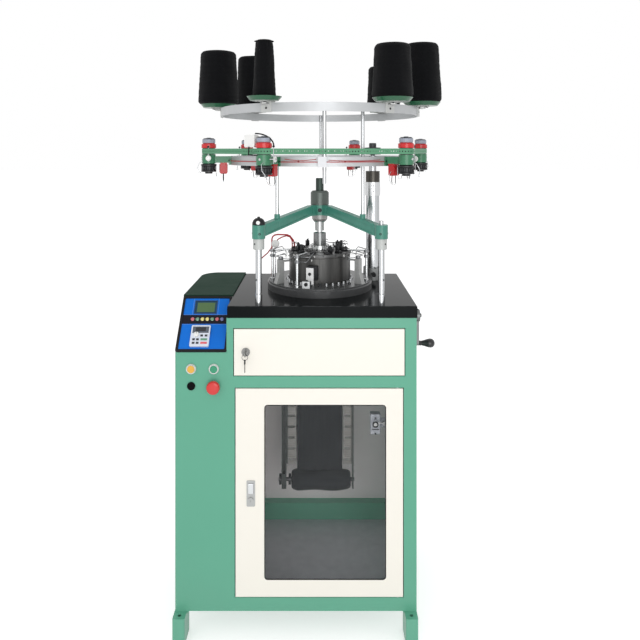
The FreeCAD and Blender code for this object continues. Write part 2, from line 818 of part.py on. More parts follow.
def keypad():
    """The drive's keypad with its screen, keys and speed knob."""
    left, up = keypad_left * panel_width, keypad_up * panel_length
    wide, tall = keypad_wide * panel_width, keypad_tall * panel_length
    case = rounded_plate(wide, tall, keypad_depth, keypad_corner_r)
    case.translate(Vector(left, up, panel_plate_thickness))
    top = panel_plate_thickness + keypad_depth
    screen_width = keypad_screen_wide * wide
    screen = Part.makeBox(screen_width, keypad_screen_tall * tall, keypad_depth,
                          Vector(left + (wide - screen_width) / 2, up + keypad_screen_up * tall,
                                 top - keypad_screen_depth))
    keys = []
    for key_across, key_up, key_wide in keypad_keys:
        width = key_wide * wide
        keys.append(Part.makeBox(width, key_height, key_rise,
                                 Vector(left + key_across * wide - width / 2,
                                        up + key_up * tall - key_height / 2, top)))
    knob_place = Vector(left + knob_across * wide, up + tall * knob_up, 0)
    stem_foot = top - knob_stem
    stem_hole = post(knob_place, stem_foot, top + 1, knob_stem_r + running_fit)
    export("drive_keypad", on_slope(fuse([case.cut(screen)] + keys).cut(stem_hole)))

    knob_top = top + knob_height
    edge = knob_r * 0.25
    knob = turned([(0, stem_foot), (knob_stem_r, stem_foot), (knob_stem_r, top + seat_gap),
                   (knob_r, top + seat_gap), (knob_r, knob_top - edge), (knob_r - edge, knob_top),
                   (0, knob_top)], knob_place)
    export("keypad_knob", on_slope(Part.makeCompound([knob])))


def push_buttons():
    """The bezels, the blanking plug and the three buttons on the column's front."""
    yellow, green, plug, stop = button_places()
    back = cabinet_front + sheet + button_travel_room
    bezels = []
    for (x, z), depth in ((yellow, bezel_depth), (green, bezel_depth), (stop, stop_bezel_depth)):
        front = cabinet_front - depth
        rim = across(x, z, front, cabinet_front, bezel_r)
        edge = [e for e in rim.Edges if max(v.Y for v in e.Vertexes) < front + 0.1]
        rim = rim.makeChamfer(bezel_edge, edge)
        bezels.append(rim.cut(across(x, z, front - 1, cabinet_front + 1, push_button_r + seat_gap)))
    cap = across(plug[0], plug[1], cabinet_front - plug_cap, cabinet_front, plug_r)
    stem = across(plug[0], plug[1], cabinet_front, cabinet_front + sheet + plug_stem, push_button_r)
    bezels.append(fuse([cap, stem]))
    export("button_bezels", *bezels)
    for node, (x, z) in (("yellow_button", yellow), ("green_button", green)):
        front = cabinet_front - bezel_depth - button_proud
        body = across(x, z, front, back, push_button_r)
        edge = [e for e in body.Edges if max(v.Y for v in e.Vertexes) < front + 0.1]
        export(node, body.makeChamfer(button_edge, edge))
    front = cabinet_front - stop_button_front
    head = turned([(0, 0), (stop_button_r * 0.64, 0.6), (stop_button_r * 0.9, 3), (stop_button_r, 7),
                   (stop_button_r, stop_button_depth - 2), (stop_button_r * 0.8, stop_button_depth),
                   (push_button_r, stop_button_depth), (push_button_r, back - front), (0, back - front)],
                  Vector(stop[0], front, stop[1]), Vector(0, 1, 0))
    export("stop_button", head)


# ---------------------------------------------------------------- knitting head
def knitting_head():
    """The flange, the cam drum with its foot screws, the needle cylinder and the dial."""
    flange = turned([(cylinder_neck_r + running_fit, table_top), (flange_r, table_top),
                     (flange_r, flange_top - 8), (flange_r - 3, flange_top - 5),
                     (flange_r - 3, flange_top - 1), (flange_r - 4, flange_top),
                     (cylinder_neck_r + running_fit, flange_top)], spindle)
    export("base_flange", flange)

    top = flange_top + cam_drum_height
    drum = turned([(cam_drum_bore_r, flange_top), (cam_drum_r, flange_top), (cam_drum_r, top - 14),
                   (cam_drum_r - 3, top - 14), (cam_drum_r - 3, top - 8), (cam_drum_r + 3, top - 8),
                   (cam_drum_r + 3, top - 1), (cam_drum_r + 2, top), (cylinder_r + 2, top),
                   (cylinder_r + 2, top - cam_plate_thickness),
                   (cam_drum_bore_r, top - cam_plate_thickness)], spindle)
    export("cam_drum", drum)

    screws = []
    for index in range(foot_screw_count):
        place = polar(360.0 * index / foot_screw_count, foot_screw_circle_r)
        hexagon = Part.makePolygon([
            Vector(place.x + foot_screw_r * math.cos(math.radians(60 * k)),
                   place.y + foot_screw_r * math.sin(math.radians(60 * k)), flange_top)
            for k in range(7)])
        screws.append(Part.Face(hexagon).extrude(Vector(0, 0, foot_screw_height)))
    export("foot_screws", *screws)

    cylinder = turned([(cylinder_bore_r, gear_disc_bottom), (cylinder_neck_r, gear_disc_bottom),
                       (cylinder_neck_r, shoulder_bottom), (cylinder_shoulder_r, shoulder_bottom),
                       (cylinder_shoulder_r, shoulder_bottom + cylinder_shoulder_height),
                       (cylinder_r, shoulder_bottom + cylinder_shoulder_height),
                       (cylinder_r, cylinder_top), (cylinder_bore_r, cylinder_top)], spindle)
    slots = []
    for index in range(needle_slots):
        slot = box(cylinder_r - needle_slot_depth, cylinder_r + 1, -needle_slot_width / 2,
                   needle_slot_width / 2, shoulder_bottom + cylinder_shoulder_height + 4, cylinder_top + 1)
        slots.append(aimed(slot, 360.0 * index / needle_slots))
    export("needle_cylinder", cylinder.cut(Part.makeCompound(slots)))

    low = cylinder_top + 1
    cap = low + dial_thickness
    body = cap + dial_cap_height
    nut = hub_top + housing_height + seat_gap
    dial = turned([(0, low), (dial_r, low), (dial_r, cap), (dial_cap_r, cap), (dial_cap_r, body),
                   (dial_body_r, body), (dial_body_r, dial_body_top), (dial_shaft_r, dial_body_top),
                   (dial_shaft_r, nut), (dial_nut_r, nut), (dial_nut_r, nut + dial_nut_height - 2),
                   (dial_nut_r - 2, nut + dial_nut_height), (0, nut + dial_nut_height)], spindle)
    export("needle_dial", dial)


def guide_post(angle, height):
    """A square post with a foot that slopes outwards, and a finger that points at the drum's edge."""
    inside, outside = post_radius - post_depth / 2, post_radius + post_depth / 2
    side = -post_width / 2
    outline = [Vector(inside, side, flange_top), Vector(outside + post_gusset, side, flange_top),
               Vector(outside, side, flange_top + post_gusset_height),
               Vector(outside, side, flange_top + height), Vector(inside, side, flange_top + height)]
    body = Part.Face(Part.makePolygon(outline + outline[:1])).extrude(Vector(0, post_width, 0))
    finger_z = flange_top + height - 2 * finger_r
    finger = bar(polar(angle, post_radius, finger_z), polar(angle, cam_drum_r + 5, finger_z), finger_r)
    return fuse([aimed(body, angle), finger])


def yarn_posts():
    """The guide posts, the thin rods and the upright plate that stand on the flange beside the drum."""
    pieces = [guide_post(angle, height) for angle, height in guide_posts]
    start = foot_screw_circle_r + foot_screw_r + scale_thickness
    half = scale_width / 2
    plate = box(start, start + scale_thickness, -half, half, flange_top, flange_top + scale_height)
    base_end = post_radius + scale_block
    base = box(start, base_end, -half, half, flange_top, flange_top + scale_base_height)
    block = box(post_radius, base_end, -half, half, flange_top, flange_top + scale_block_height)
    pieces.append(aimed(fuse([plate, base, block]), scale_angle))
    height = cam_drum_height + 2 * thin_rod_r
    arm_z = flange_top + cam_drum_height + thin_rod_r
    for angle, radius in thin_rods:
        foot = thin_rod_foot_height
        rod = turned([(0, 0), (thin_rod_foot_r, 0), (thin_rod_foot_r, foot), (thin_rod_r, foot + 2),
                      (thin_rod_r, height), (0, height)], polar(angle, radius, flange_top))
        arm_bar = bar(polar(angle, radius, arm_z), polar(angle, cam_drum_r - 6, arm_z), finger_r)
        pieces.append(fuse([rod, arm_bar]))
    export("yarn_posts", *pieces)


# ---------------------------------------------------------------- bridge
def arm_outline(length, inset):
    """The side outline of a bridge arm in its own upright plane, drawn in by inset."""
    end = length - boss_r * 0.7 - inset
    points = [
        Vector(hub_bore_r + 2 + inset * 2, 0, hub_top - inset),
        Vector(hub_flat, 0, hub_top - inset),
        Vector(end, 0, boss_top - inset),
        Vector(end, 0, boss_bottom + 5 + inset),
        Vector(hub_flat + 10, 0, hub_bottom + inset),
        Vector(hub_bore_r + 2 + inset * 2, 0, hub_bottom + inset),
    ]
    return Part.Face(Part.makePolygon(points + points[:1]))


def arm(length, angle):
    """One cast arm: a web between two flanges, with a pocket on each side."""
    solid = arm_outline(length, 0).extrude(Vector(0, arm_thickness, 0))
    solid.translate(Vector(0, -arm_thickness / 2, 0))
    for side in (-1, 1):
        pocket = arm_outline(length - 8, arm_rib).extrude(Vector(0, arm_pocket, 0))
        pocket = pocket.cut(box(0, hub_flat - 4, -1, arm_pocket + 1, hub_bottom - 1, hub_top + 1))
        pocket.translate(Vector(0, arm_thickness / 2 - arm_pocket if side > 0 else -arm_thickness / 2, 0))
        solid = solid.cut(pocket)
    return aimed(solid, angle)


def bridge():
    """The cast tripod over the knitting head, its legs, bushings and the spindle housing."""
    hub = post(spindle, hub_bottom, hub_top, hub_r)
    pieces = [hub]
    for angle, radius in leg_places:
        pieces.append(arm(radius, angle))
        pieces.append(post(polar(angle, radius), boss_bottom, boss_top, boss_r))
    for angle in (-leg_angle, leg_angle):
        pieces.append(post(polar(angle, rod_radius), boss_top - 12, rod_boss_top, rod_boss_r))
    casting = fuse(pieces)
    casting = casting.cut(post(spindle, hub_bottom - 1, hub_top + 1, hub_bore_r))
    for angle, radius in leg_places:
        casting = casting.cut(post(polar(angle, radius), boss_bottom - 1, boss_top + 1, leg_r))
    for angle in (-leg_angle, leg_angle):
        casting = casting.cut(post(polar(angle, rod_radius), boss_top - 6, rod_boss_top + 1, rod_r))
    middle = (hub_bottom + hub_top) / 2
    socket = bar(polar(0, hub_r - socket_depth + 6, middle), polar(0, hub_r + 5, middle), socket_r)
    export("bridge_casting", casting.cut(socket))

    legs = []
    bushings = []
    groove = table_top + leg_foot_height
    for angle, radius in leg_places:
        legs.append(turned([(0, table_top), (leg_foot_r, table_top), (leg_foot_r, groove - leg_groove_height),
                            (leg_r - 1, groove - leg_groove_height), (leg_r - 1, groove),
                            (leg_r, groove), (leg_r, boss_top), (leg_bolt_r, boss_top),
                            (leg_bolt_r, boss_top + leg_bolt_height - 1),
                            (leg_bolt_r - 1, boss_top + leg_bolt_height),
                            (0, boss_top + leg_bolt_height)], polar(angle, radius)))
        bushings.append(turned([(leg_r, bushing_bottom), (bushing_r - 1, bushing_bottom),
                                (bushing_r, bushing_bottom + 1), (bushing_r, boss_bottom),
                                (leg_r, boss_bottom)], polar(angle, radius)))
    export("bridge_columns", *legs)
    export("column_bushings", *bushings)

    bore = dial_shaft_r + running_fit
    housing = turned([(bore, hub_bottom - housing_collar_height),
                      (housing_collar_r - 5, hub_bottom - housing_collar_height),
                      (housing_collar_r, hub_bottom - housing_collar_height + 8),
                      (housing_collar_r, hub_bottom), (hub_bore_r, hub_bottom), (hub_bore_r, hub_top),
                      (housing_r, hub_top), (housing_r, hub_top + housing_height - 6),
                      (housing_r - 6, hub_top + housing_height), (bore, hub_top + housing_height)], spindle)
    export("hub_housing", housing)


def support_rods():
    """The rods and straps that carry the feeder hoop and the cone hoop."""
    strap_z = hoop_bottom + hoop_height / 2
    cone_strap_z = cone_hoop_bottom + cone_hoop_height / 2
    pieces = []
    for angle, top in ((-leg_angle, strap_z + 10), (leg_angle, cone_strap_z + 8)):
        rod = post(polar(angle, rod_radius), boss_top - 6, top, rod_r)
        strap = aimed(box(rod_radius - 9, hoop_r - hoop_thickness, -9, 9, strap_z - 4, strap_z + 4), angle)
        pieces.append([rod, strap])
    pieces[1].append(aimed(box(rod_radius - 9, cone_hoop_r - hoop_thickness, -9, 9,
                               cone_strap_z - 4, cone_strap_z + 4), leg_angle))
    for angle, clamp_angle, drop in hoop_rods:
        place = hoop_r + hoop_gap - rod_r
        rod = post(polar(angle, place), hoop_bottom - drop, cone_hoop_bottom + cone_hoop_height - 2, rod_r)
        clamp = aimed(box(hoop_r, hoop_r + hoop_gap + 2, -12.5, 12.5, hoop_bottom - 1,
                          hoop_bottom + hoop_height + 1), clamp_angle)
        pieces.append([rod, clamp])
    export("support_rods", *[fuse(group) for group in pieces])


# ---------------------------------------------------------------- drive and take-down
def drive():
    """The crown gear under the needle cylinder and the hand crank with its pinion."""
    disc = turned([(cylinder_neck_r, gear_disc_bottom), (gear_r, gear_disc_bottom),
                   (gear_r, gear_disc_bottom + gear_disc_thickness),
                   (cylinder_neck_r, gear_disc_bottom + gear_disc_thickness)], spindle)
    teeth = []
    for index in range(gear_teeth):
        tooth = box(gear_r - gear_face - 1, gear_r - 1, -gear_tooth_width / 2, gear_tooth_width / 2,
                    gear_disc_bottom - gear_tooth_height, gear_disc_bottom)
        teeth.append(aimed(tooth, 90 + 360.0 * (index + 0.5) / gear_teeth))
    export("cylinder_gear", fuse([disc] + teeth))

    start = spindle_x + gear_r - gear_face - 0.5
    arm_x = cabinet_right + crank_standoff
    axis = Vector(1, 0, 0)
    shaft = bar(Vector(start, spindle_y, crank_z),
                Vector(arm_x + crank_arm_thickness + 3, spindle_y, crank_z), crank_shaft_r)
    pinion = Part.makeCylinder(pinion_root_r, gear_face - 1, Vector(start, spindle_y, crank_z), axis)
    pieces = [shaft, pinion]
    half = pinion_tooth_width / 2
    for index in range(pinion_teeth):
        outline = [Vector(start, -half, pinion_root_r - 1), Vector(start, half, pinion_root_r - 1),
                   Vector(start, half - 1, pinion_r), Vector(start, 1 - half, pinion_r)]
        tooth = Part.Face(Part.makePolygon(outline + outline[:1])).extrude(Vector(gear_face - 1, 0, 0))
        tooth.rotate(Vector(start, 0, 0), axis, 360.0 * index / pinion_teeth)
        tooth.translate(Vector(0, spindle_y, crank_z))
        pieces.append(tooth)
    hub = bar(Vector(arm_x, spindle_y, crank_z), Vector(arm_x + crank_arm_thickness, spindle_y, crank_z),
              crank_hub_r)
    half = crank_arm_width / 2
    blade = box(arm_x + 2, arm_x + crank_arm_thickness - 2, spindle_y - half, spindle_y + half,
                crank_z - crank_radius, crank_z)
    end_z = crank_z - crank_radius
    end = bar(Vector(arm_x + 2, spindle_y, end_z), Vector(arm_x + crank_arm_thickness - 2, spindle_y, end_z),
              half)
    pin_start = arm_x + crank_arm_thickness - 2
    pin = bar(Vector(pin_start, spindle_y, end_z), Vector(pin_start + grip_length - 6, spindle_y, end_z),
              grip_pin_r)
    export("crank_handle", fuse(pieces + [hub, blade, end, pin]))

    bore = grip_pin_r + running_fit
    grip = turned([(bore, 0), (7, 0), (8.5, 3), (7.5, 8), (10, 18), (14, 31), (15, 39), (13.5, 46),
                   (9, 51), (4, grip_length - 1), (0, grip_length - 0.5), (0, grip_length - 5.5),
                   (bore, grip_length - 5.5)],
                  Vector(pin_start + seat_gap, spindle_y, end_z), axis)
    export("crank_grip", grip)


def star(x):
    """A small toothed wheel on the take-down shaft."""
    outline = []
    for index in range(star_teeth):
        step = 360.0 / star_teeth
        for part, radius in ((0.0, star_r), (0.3, star_r), (0.45, star_r - 4.5), (0.85, star_r - 4.5)):
            angle = math.radians((index + part) * step)
            outline.append(Vector(x, spindle_y + radius * math.cos(angle), roll_z + radius * math.sin(angle)))
    return Part.Face(Part.makePolygon(outline + outline[:1])).extrude(Vector(star_thickness, 0, 0))


def take_down():
    """The frame that turns under the cylinder, the knitted tube and the roll that winds it."""
    half = frame_bar_width / 2
    hanger = box(spindle_x - frame_left - 8, spindle_x + frame_right + 4, spindle_y - half - 2,
                 spindle_y + half + 2, gear_disc_bottom - hanger_thickness, gear_disc_bottom)
    hanger = hanger.fuse(post(spindle, gear_disc_bottom - hanger_thickness, gear_disc_bottom,
                              cylinder_neck_r))
    hanger = hanger.cut(post(spindle, gear_disc_bottom - hanger_thickness - 1, gear_disc_bottom + 1,
                             cylinder_bore_r + 1))
    low = gear_disc_bottom - hanger_thickness
    left = box(spindle_x - frame_left, spindle_x - frame_left + frame_channel, spindle_y - half,
               spindle_y + half, frame_bottom, low)
    left = left.cut(box(spindle_x - frame_left + frame_strip,
                        spindle_x - frame_left + frame_channel - frame_strip, spindle_y - half,
                        spindle_y + half - frame_strip, frame_bottom + frame_foot, low))
    right = box(spindle_x + frame_right - 5, spindle_x + frame_right, spindle_y - half, spindle_y + half,
                frame_bottom, low)
    guides = []
    inner = fabric_flat_width / 2 + 3
    pitch = (low - roll_z - roll_r - 30) / slot_count
    for x0, x1 in ((spindle_x - frame_left + frame_channel, spindle_x - inner),
                   (spindle_x + inner, spindle_x + frame_right - 5)):
        guide = box(x0, x1, spindle_y + half - 2, spindle_y + half, roll_z + roll_r + 12, low)
        cuts = [box(x0 + 5, x1 - 5, spindle_y + half - 3, spindle_y + half + 1,
                    roll_z + roll_r + 24 + k * pitch, roll_z + roll_r + 24 + k * pitch + slot_height)
                for k in range(slot_count)]
        guides.append(guide.cut(Part.makeCompound(cuts)))
    shaft_hole = bar(Vector(spindle_x - frame_left - 1, spindle_y, roll_z),
                     Vector(spindle_x + frame_right + 1, spindle_y, roll_z), roll_shaft_r + running_fit)
    export("takedown_frame", fuse([hanger, left, right] + guides).cut(shaft_hole))

    shaft = bar(Vector(spindle_x - frame_left - star_thickness - 3, spindle_y, roll_z),
                Vector(spindle_x + frame_right + 3, spindle_y, roll_z), roll_shaft_r)
    stars = [star(spindle_x - frame_left - star_thickness - 1),
             star(spindle_x - roll_left - star_thickness - 1)]
    export("takedown_gears", fuse([shaft] + stars))

    length = roll_left + roll_right
    roll = turned([(roll_shaft_r, 0), (roll_r - 12, 0), (roll_r - 4, 4), (roll_r, 13), (roll_r, length - 13),
                   (roll_r - 4, length - 4), (roll_r - 12, length), (roll_shaft_r, length)],
                  Vector(spindle_x - roll_left, spindle_y, roll_z), Vector(1, 0, 0))
    export("fabric_roll", roll)

    tube_r = cylinder_bore_r - seat_gap
    round_end = tube_outline(low - 10, tube_r, tube_r)
    flat_end = tube_outline(fabric_flat_from, fabric_flat_width / 2, fabric_flat_thickness / 2)
    neck = Part.makeLoft([round_end, flat_end], True, True)
    upper = post(spindle, low - 10, cylinder_top - 4, tube_r)
    foot = roll_z + roll_r + seat_gap
    lower = tube_outline(foot, fabric_flat_width / 2, fabric_flat_thickness / 2)
    lower = Part.Face(lower).extrude(Vector(0, 0, fabric_flat_from - foot))
    export("fabric_tube", fuse([upper, neck, lower]))


def tube_outline(z, half_width, half_thickness):
    """The knitted tube's outline at a height, round or flat, as four arcs that meet at its corners."""
    x = half_width - half_thickness * (1 - math.sqrt(0.5))
    y = half_thickness * math.sqrt(0.5)
    corners = [Vector(x, -y, z), Vector(x, y, z), Vector(-x, y, z), Vector(-x, -y, z)]
    middles = [Vector(half_width, 0, z), Vector(0, half_thickness, z), Vector(-half_width, 0, z),
               Vector(0, -half_thickness, z)]
    edges = [Part.Arc(corners[k], middles[k], corners[(k + 1) % 4]).toShape() for k in range(4)]
    wire = Part.Wire(edges)
    wire.translate(spindle)
    return wire


# ---------------------------------------------------------------- feeder level
def hoop(radius, z, height):
    """A flat-bar hoop about the spindle axis."""
    return post(spindle, z, z + height, radius).cut(post(spindle, z - 1, z + height + 1,
                                                        radius - hoop_thickness))


def feeders():
    """The feeder hoop with its signal wire, and six yarn feeders on brackets."""
    export("feeder_hoop", hoop(hoop_r, hoop_bottom, hoop_height))
    wire_z = hoop_bottom + wire_up
    wire = turned([(hoop_r, wire_z), (hoop_r + wire_thickness, wire_z),
                   (hoop_r + wire_thickness, wire_z + wire_thickness),
                   (hoop_r, wire_z + wire_thickness)], spindle)
    blocks = [aimed(box(hoop_r, hoop_r + 40, -13, 13, hoop_bottom, hoop_bottom + hoop_height), clamp_angle)
              for angle, clamp_angle, drop in hoop_rods]
    for angle in feeder_angles:
        blocks.append(aimed(box(hoop_r, hoop_r + 10, -feeder_arm_width / 2 - 5, feeder_arm_width / 2 + 5,
                                hoop_bottom, hoop_bottom + hoop_height), angle))
    export("signal_wire", wire.cut(Part.makeCompound(blocks)))

    brackets = []
    lamps = []
    for angle in feeder_angles:
        half = feeder_arm_width / 2
        foot = box(hoop_r, hoop_r + 5, -half - 4, half + 4, hoop_bottom, hoop_bottom + hoop_height)
        foot = foot.cut(post(Vector(0, 0, 0), hoop_bottom - 1, hoop_bottom + hoop_height + 1, hoop_r))
        reach = box(hoop_r + 3, feeder_circle_r, -half, half, feeder_body_bottom + 2, feeder_body_top - 6)
        round_body = post(Vector(feeder_circle_r, 0, 0), feeder_body_bottom, feeder_body_top, feeder_body_r)
        bore = post(Vector(feeder_circle_r, 0, 0), feeder_body_bottom - 1, feeder_body_top + 1,
                    feeder_shaft_r + running_fit)
        brackets.append(aimed(fuse([foot, reach, round_body]).cut(bore), angle))
        lamp_top = feeder_body_bottom + 2
        lamp = box(hoop_r + 12, hoop_r + 12 + stop_lamp_length, -stop_lamp_width / 2, stop_lamp_width / 2,
                   lamp_top - stop_lamp_height, lamp_top)
        lower = [e for e in lamp.Edges if max(v.Z for v in e.Vertexes) < lamp_top - 1]
        lamps.append(aimed(lamp.makeFillet(4, lower), angle))
    export("feeder_brackets", *brackets)
    export("stop_motions", *lamps)

    disc = belt_bottom + belt_height + 1
    shoulder = feeder_body_bottom - seat_gap
    for index, angle in enumerate(feeder_angles):
        wheel = turned([
            (0, spool_bottom), (12, spool_bottom), (12, spool_bottom + 5), (spool_r - 1, spool_bottom + 6),
            (spool_r - 1, spool_bottom + 10), (spool_r - 6, spool_bottom + 12),
            (spool_r - 5, shoulder - 9), (spool_r, shoulder - 7), (spool_r, shoulder - 3),
            (spool_r - 8, shoulder), (feeder_shaft_r, shoulder), (feeder_shaft_r, feeder_body_top + seat_gap),
            (pulley_r, feeder_body_top + seat_gap), (pulley_r, disc), (feeder_disc_r, disc + 1),
            (feeder_disc_r, disc + feeder_disc_height), (feeder_disc_r - 5, disc + feeder_disc_height + 3),
            (feeder_cap_r, disc + feeder_disc_height + 5),
            (feeder_cap_r, feeder_top - 4), (feeder_cap_r - 5, feeder_top), (0, feeder_top),
        ], polar(angle, feeder_circle_r))
        export("feeder_wheel_" + str(index + 1), wheel)


def belt_wire(offset_inside, offset_outside):
    """One edge of the belt: straight runs joined by arcs round the pulleys, seen from above."""
    stops = []
    for position, angle in enumerate(feeder_angles):
        stops.append((polar(angle, feeder_circle_r), pulley_r + offset_inside, 1))
        if position == 2:
            drive_place = Vector(spindle_x + drive_column_x, spindle_y + drive_column_y, 0)
            stops.append((drive_place, drive_pulley_r + offset_outside, -1))
    leaving, arriving = [], []
    count = len(stops)
    for index in range(count):
        centre, radius, sense = stops[index]
        next_centre, next_radius, next_sense = stops[(index + 1) % count]
        run = next_centre.sub(centre)
        tilt = math.asin((next_sense * next_radius - sense * radius) / run.Length)
        normal_angle = math.atan2(run.y, run.x) + math.pi / 2 - tilt
        normal = Vector(math.cos(normal_angle), math.sin(normal_angle), 0)
        leaving.append(centre.sub(normal * (sense * radius)))
        arriving.append(next_centre.sub(normal * (next_sense * next_radius)))
    edges = []
    for index in range(count):
        centre, radius, sense = stops[index]
        begin = arriving[index - 1]
        end = leaving[index]
        edges.append(arc_about(centre, radius, sense, begin, end))
        edges.append(Part.makeLine(end, arriving[index]))
    return Part.Wire(edges)


def arc_about(centre, radius, sense, begin, end):
    """An arc about a centre from one point to another, anticlockwise where sense is 1."""
    first = math.atan2(begin.y - centre.y, begin.x - centre.x)
    sweep = (math.atan2(end.y - centre.y, end.x - centre.x) - first) * sense % (2 * math.pi)
    middle = first + sense * sweep / 2
    through = Vector(centre.x + radius * math.cos(middle), centre.y + radius * math.sin(middle), 0)
    return Part.Arc(begin, through, end).toShape()


def belt_drive():
    """The belt round the feeders, the column that drives it and its pulley."""
    near = seat_gap
    far = seat_gap + belt_thickness
    outside = Part.Face(belt_wire(far, near)).extrude(Vector(0, 0, belt_height))
    inside = Part.Face(belt_wire(near, far)).extrude(Vector(0, 0, belt_height))
    belt = outside.cut(inside)
    belt.translate(Vector(0, 0, belt_bottom))
    export("drive_belt", belt)

    place = Vector(spindle_x + drive_column_x, spindle_y + drive_column_y, 0)
    bore = drive_shaft_r + running_fit
    column = turned([(0, table_top), (drive_base_r, table_top), (drive_base_r, table_top + drive_base_height),
                     (drive_tube_r, table_top + drive_base_height), (drive_tube_r, drive_sleeve_bottom),
                     (drive_sleeve_r, drive_sleeve_bottom), (drive_sleeve_r, drive_sleeve_top),
                     (drive_head_r, drive_sleeve_top), (drive_head_r, drive_head_top),
                     (drive_neck_r, drive_head_top), (drive_neck_r, drive_neck_top), (bore, drive_neck_top),
                     (bore, drive_sleeve_top), (0, drive_sleeve_top)], place)
    export("belt_column", column)
    low = belt_bottom - 1
    high = belt_bottom + belt_height + 1
    pulley = turned([(0, drive_sleeve_top + 2), (drive_shaft_r, drive_sleeve_top + 2),
                     (drive_shaft_r, low - 4), (drive_flange_r, low - 3), (drive_flange_r, low),
                     (drive_pulley_r, low), (drive_pulley_r, high), (drive_flange_r, high),
                     (drive_flange_r, high + 3), (drive_neck_r, high + 4), (drive_neck_r, drive_cap_top - 2),
                     (drive_neck_r - 2, drive_cap_top), (0, drive_cap_top)], place)
    export("drive_pulley", pulley)


# ---------------------------------------------------------------- cone level
def cone_level():
    """The cone hoop, its six dish holders and the yarn cones on their pegs."""
    export("cone_hoop", hoop(cone_hoop_r, cone_hoop_bottom, cone_hoop_height))
    dish_bottom = cone_hoop_bottom + cone_hoop_height + 5
    dish_floor = dish_bottom + dish_wall
    holders, packages = [], []
    for angle, foot_r, top_r, height in cones:
        half = bracket_width / 2
        bracket_top = dish_bottom
        plate = box(cone_hoop_r - 1, cone_hoop_r + bracket_thickness, -half, half,
                    bracket_top - bracket_height, bracket_top)
        plate = plate.cut(post(Vector(0, 0, 0), 0, bracket_top + 1, cone_hoop_r))
        shelf = box(cone_hoop_r - shelf_inside, cone_hoop_r + shelf_outside, -half, half,
                    bracket_top - bracket_thickness, bracket_top)
        wide = min(dish_r, foot_r + 14)
        dish = turned([(0, dish_bottom), (wide - 10, dish_bottom), (wide, dish_bottom + dish_height),
                       (wide - dish_wall, dish_bottom + dish_height), (wide - 11, dish_floor),
                       (0, dish_floor)], Vector(cone_circle_r, 0, 0))
        peg = post(Vector(cone_circle_r, 0, 0), dish_floor - 1, dish_floor + peg_height, peg_r)
        holders.append(aimed(fuse([plate, shelf, dish, peg]), angle))
        foot = dish_bottom + dish_height + seat_gap if foot_r > wide - 12 else dish_floor + seat_gap
        packages.append(cone_package(foot_r, top_r, height, polar(angle, cone_circle_r, foot)))
    export("cone_holders", *holders)
    export("yarn_cones", *packages)


def cone_package(foot_r, top_r, height, place):
    """A wound yarn package with round edges and the tube's bore up its middle."""
    edge = cone_edge_r
    profile = [(peg_r + seat_gap, 0), (foot_r - edge, 0), (foot_r - edge * 0.3, edge * 0.3),
               (foot_r, edge), (top_r, height - edge), (top_r - edge * 0.3, height - edge * 0.3),
               (top_r - edge, height), (0, height), (0, peg_height + 2), (peg_r + seat_gap, peg_height + 2)]
    return turned(profile, place)


base_frame()
column_housing()
cabinet_front_frame()
right_side_panel()
back_panel()
inner_walls()
column_top_cover()
table_slab()
drawer()
door()
door_switch()
control_panel()
keypad()
push_buttons()
knitting_head()
yarn_posts()
bridge()
support_rods()
drive()
take_down()
feeders()
belt_drive()
cone_level()
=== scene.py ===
"""Dresses the small circular knitting machine: its finishes, and the pieces too fine or soft for CAD.

Everything is in metres in the machine's own frame: +Z up, the operator at -Y, the floor at z = 0.
"""
import logging
import math
from collections.abc import Callable, Iterable, Mapping, Sequence
from dataclasses import dataclass, field
from enum import Enum
from typing import Any

import bmesh
import bpy
from mathutils import Matrix, Vector, noise


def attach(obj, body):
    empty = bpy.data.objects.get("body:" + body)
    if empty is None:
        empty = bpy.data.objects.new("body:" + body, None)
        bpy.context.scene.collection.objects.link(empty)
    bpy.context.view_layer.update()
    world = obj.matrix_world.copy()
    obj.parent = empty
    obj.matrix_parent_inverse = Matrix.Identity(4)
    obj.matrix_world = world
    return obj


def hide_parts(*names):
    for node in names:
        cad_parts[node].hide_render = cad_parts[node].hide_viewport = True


LOG = logging.getLogger("knitting_machine")

Colour = tuple[float, float, float]
Point = tuple[float, float, float]
Pair = tuple[float, float]
Profile = Sequence[Pair]
Row = list[bmesh.types.BMVert]

UP = Vector((0.0, 0.0, 1.0))
FRONT = Vector((0.0, -1.0, 0.0))
RIGHT = Vector((1.0, 0.0, 0.0))
SPINDLE = Vector((0.014, 0.0, 0.0))


# ---- small sums
def tone(red: float, green: float, blue: float) -> Colour:
    """A screen colour of 0 to 255 as the linear values that a shader takes.

    Args:
        red: red, 0 to 255.
        green: green, 0 to 255.
        blue: blue, 0 to 255.

    Returns:
        The three linear values, 0 to 1.
    """
    def linear(value: float) -> float:
        """One channel, from screen to linear."""
        share = value / 255.0
        return share / 12.92 if share <= 0.04045 else ((share + 0.055) / 1.055) ** 2.4

    return linear(red), linear(green), linear(blue)


def polar(angle: float, radius: float, height: float = 0.0) -> Vector:
    """A point set out from the spindle.

    Args:
        angle: degrees from straight ahead, to the operator's right.
        radius: distance from the spindle's axis.
        height: height over the floor.

    Returns:
        The point in the machine's frame.
    """
    turn = math.radians(angle)
    return Vector((SPINDLE.x + radius * math.sin(turn), SPINDLE.y - radius * math.cos(turn), height))


def outward(angle: float) -> Vector:
    """The level direction away from the spindle.

    Args:
        angle: degrees from straight ahead, to the operator's right.

    Returns:
        The direction, of length 1.
    """
    turn = math.radians(angle)
    return Vector((math.sin(turn), -math.cos(turn), 0.0))


def aside(angle: float) -> Vector:
    """The level direction to the right of a person who faces the spindle.

    Args:
        angle: where the person stands, in degrees from straight ahead.

    Returns:
        The direction, of length 1.
    """
    turn = math.radians(angle)
    return Vector((math.cos(turn), math.sin(turn), 0.0))


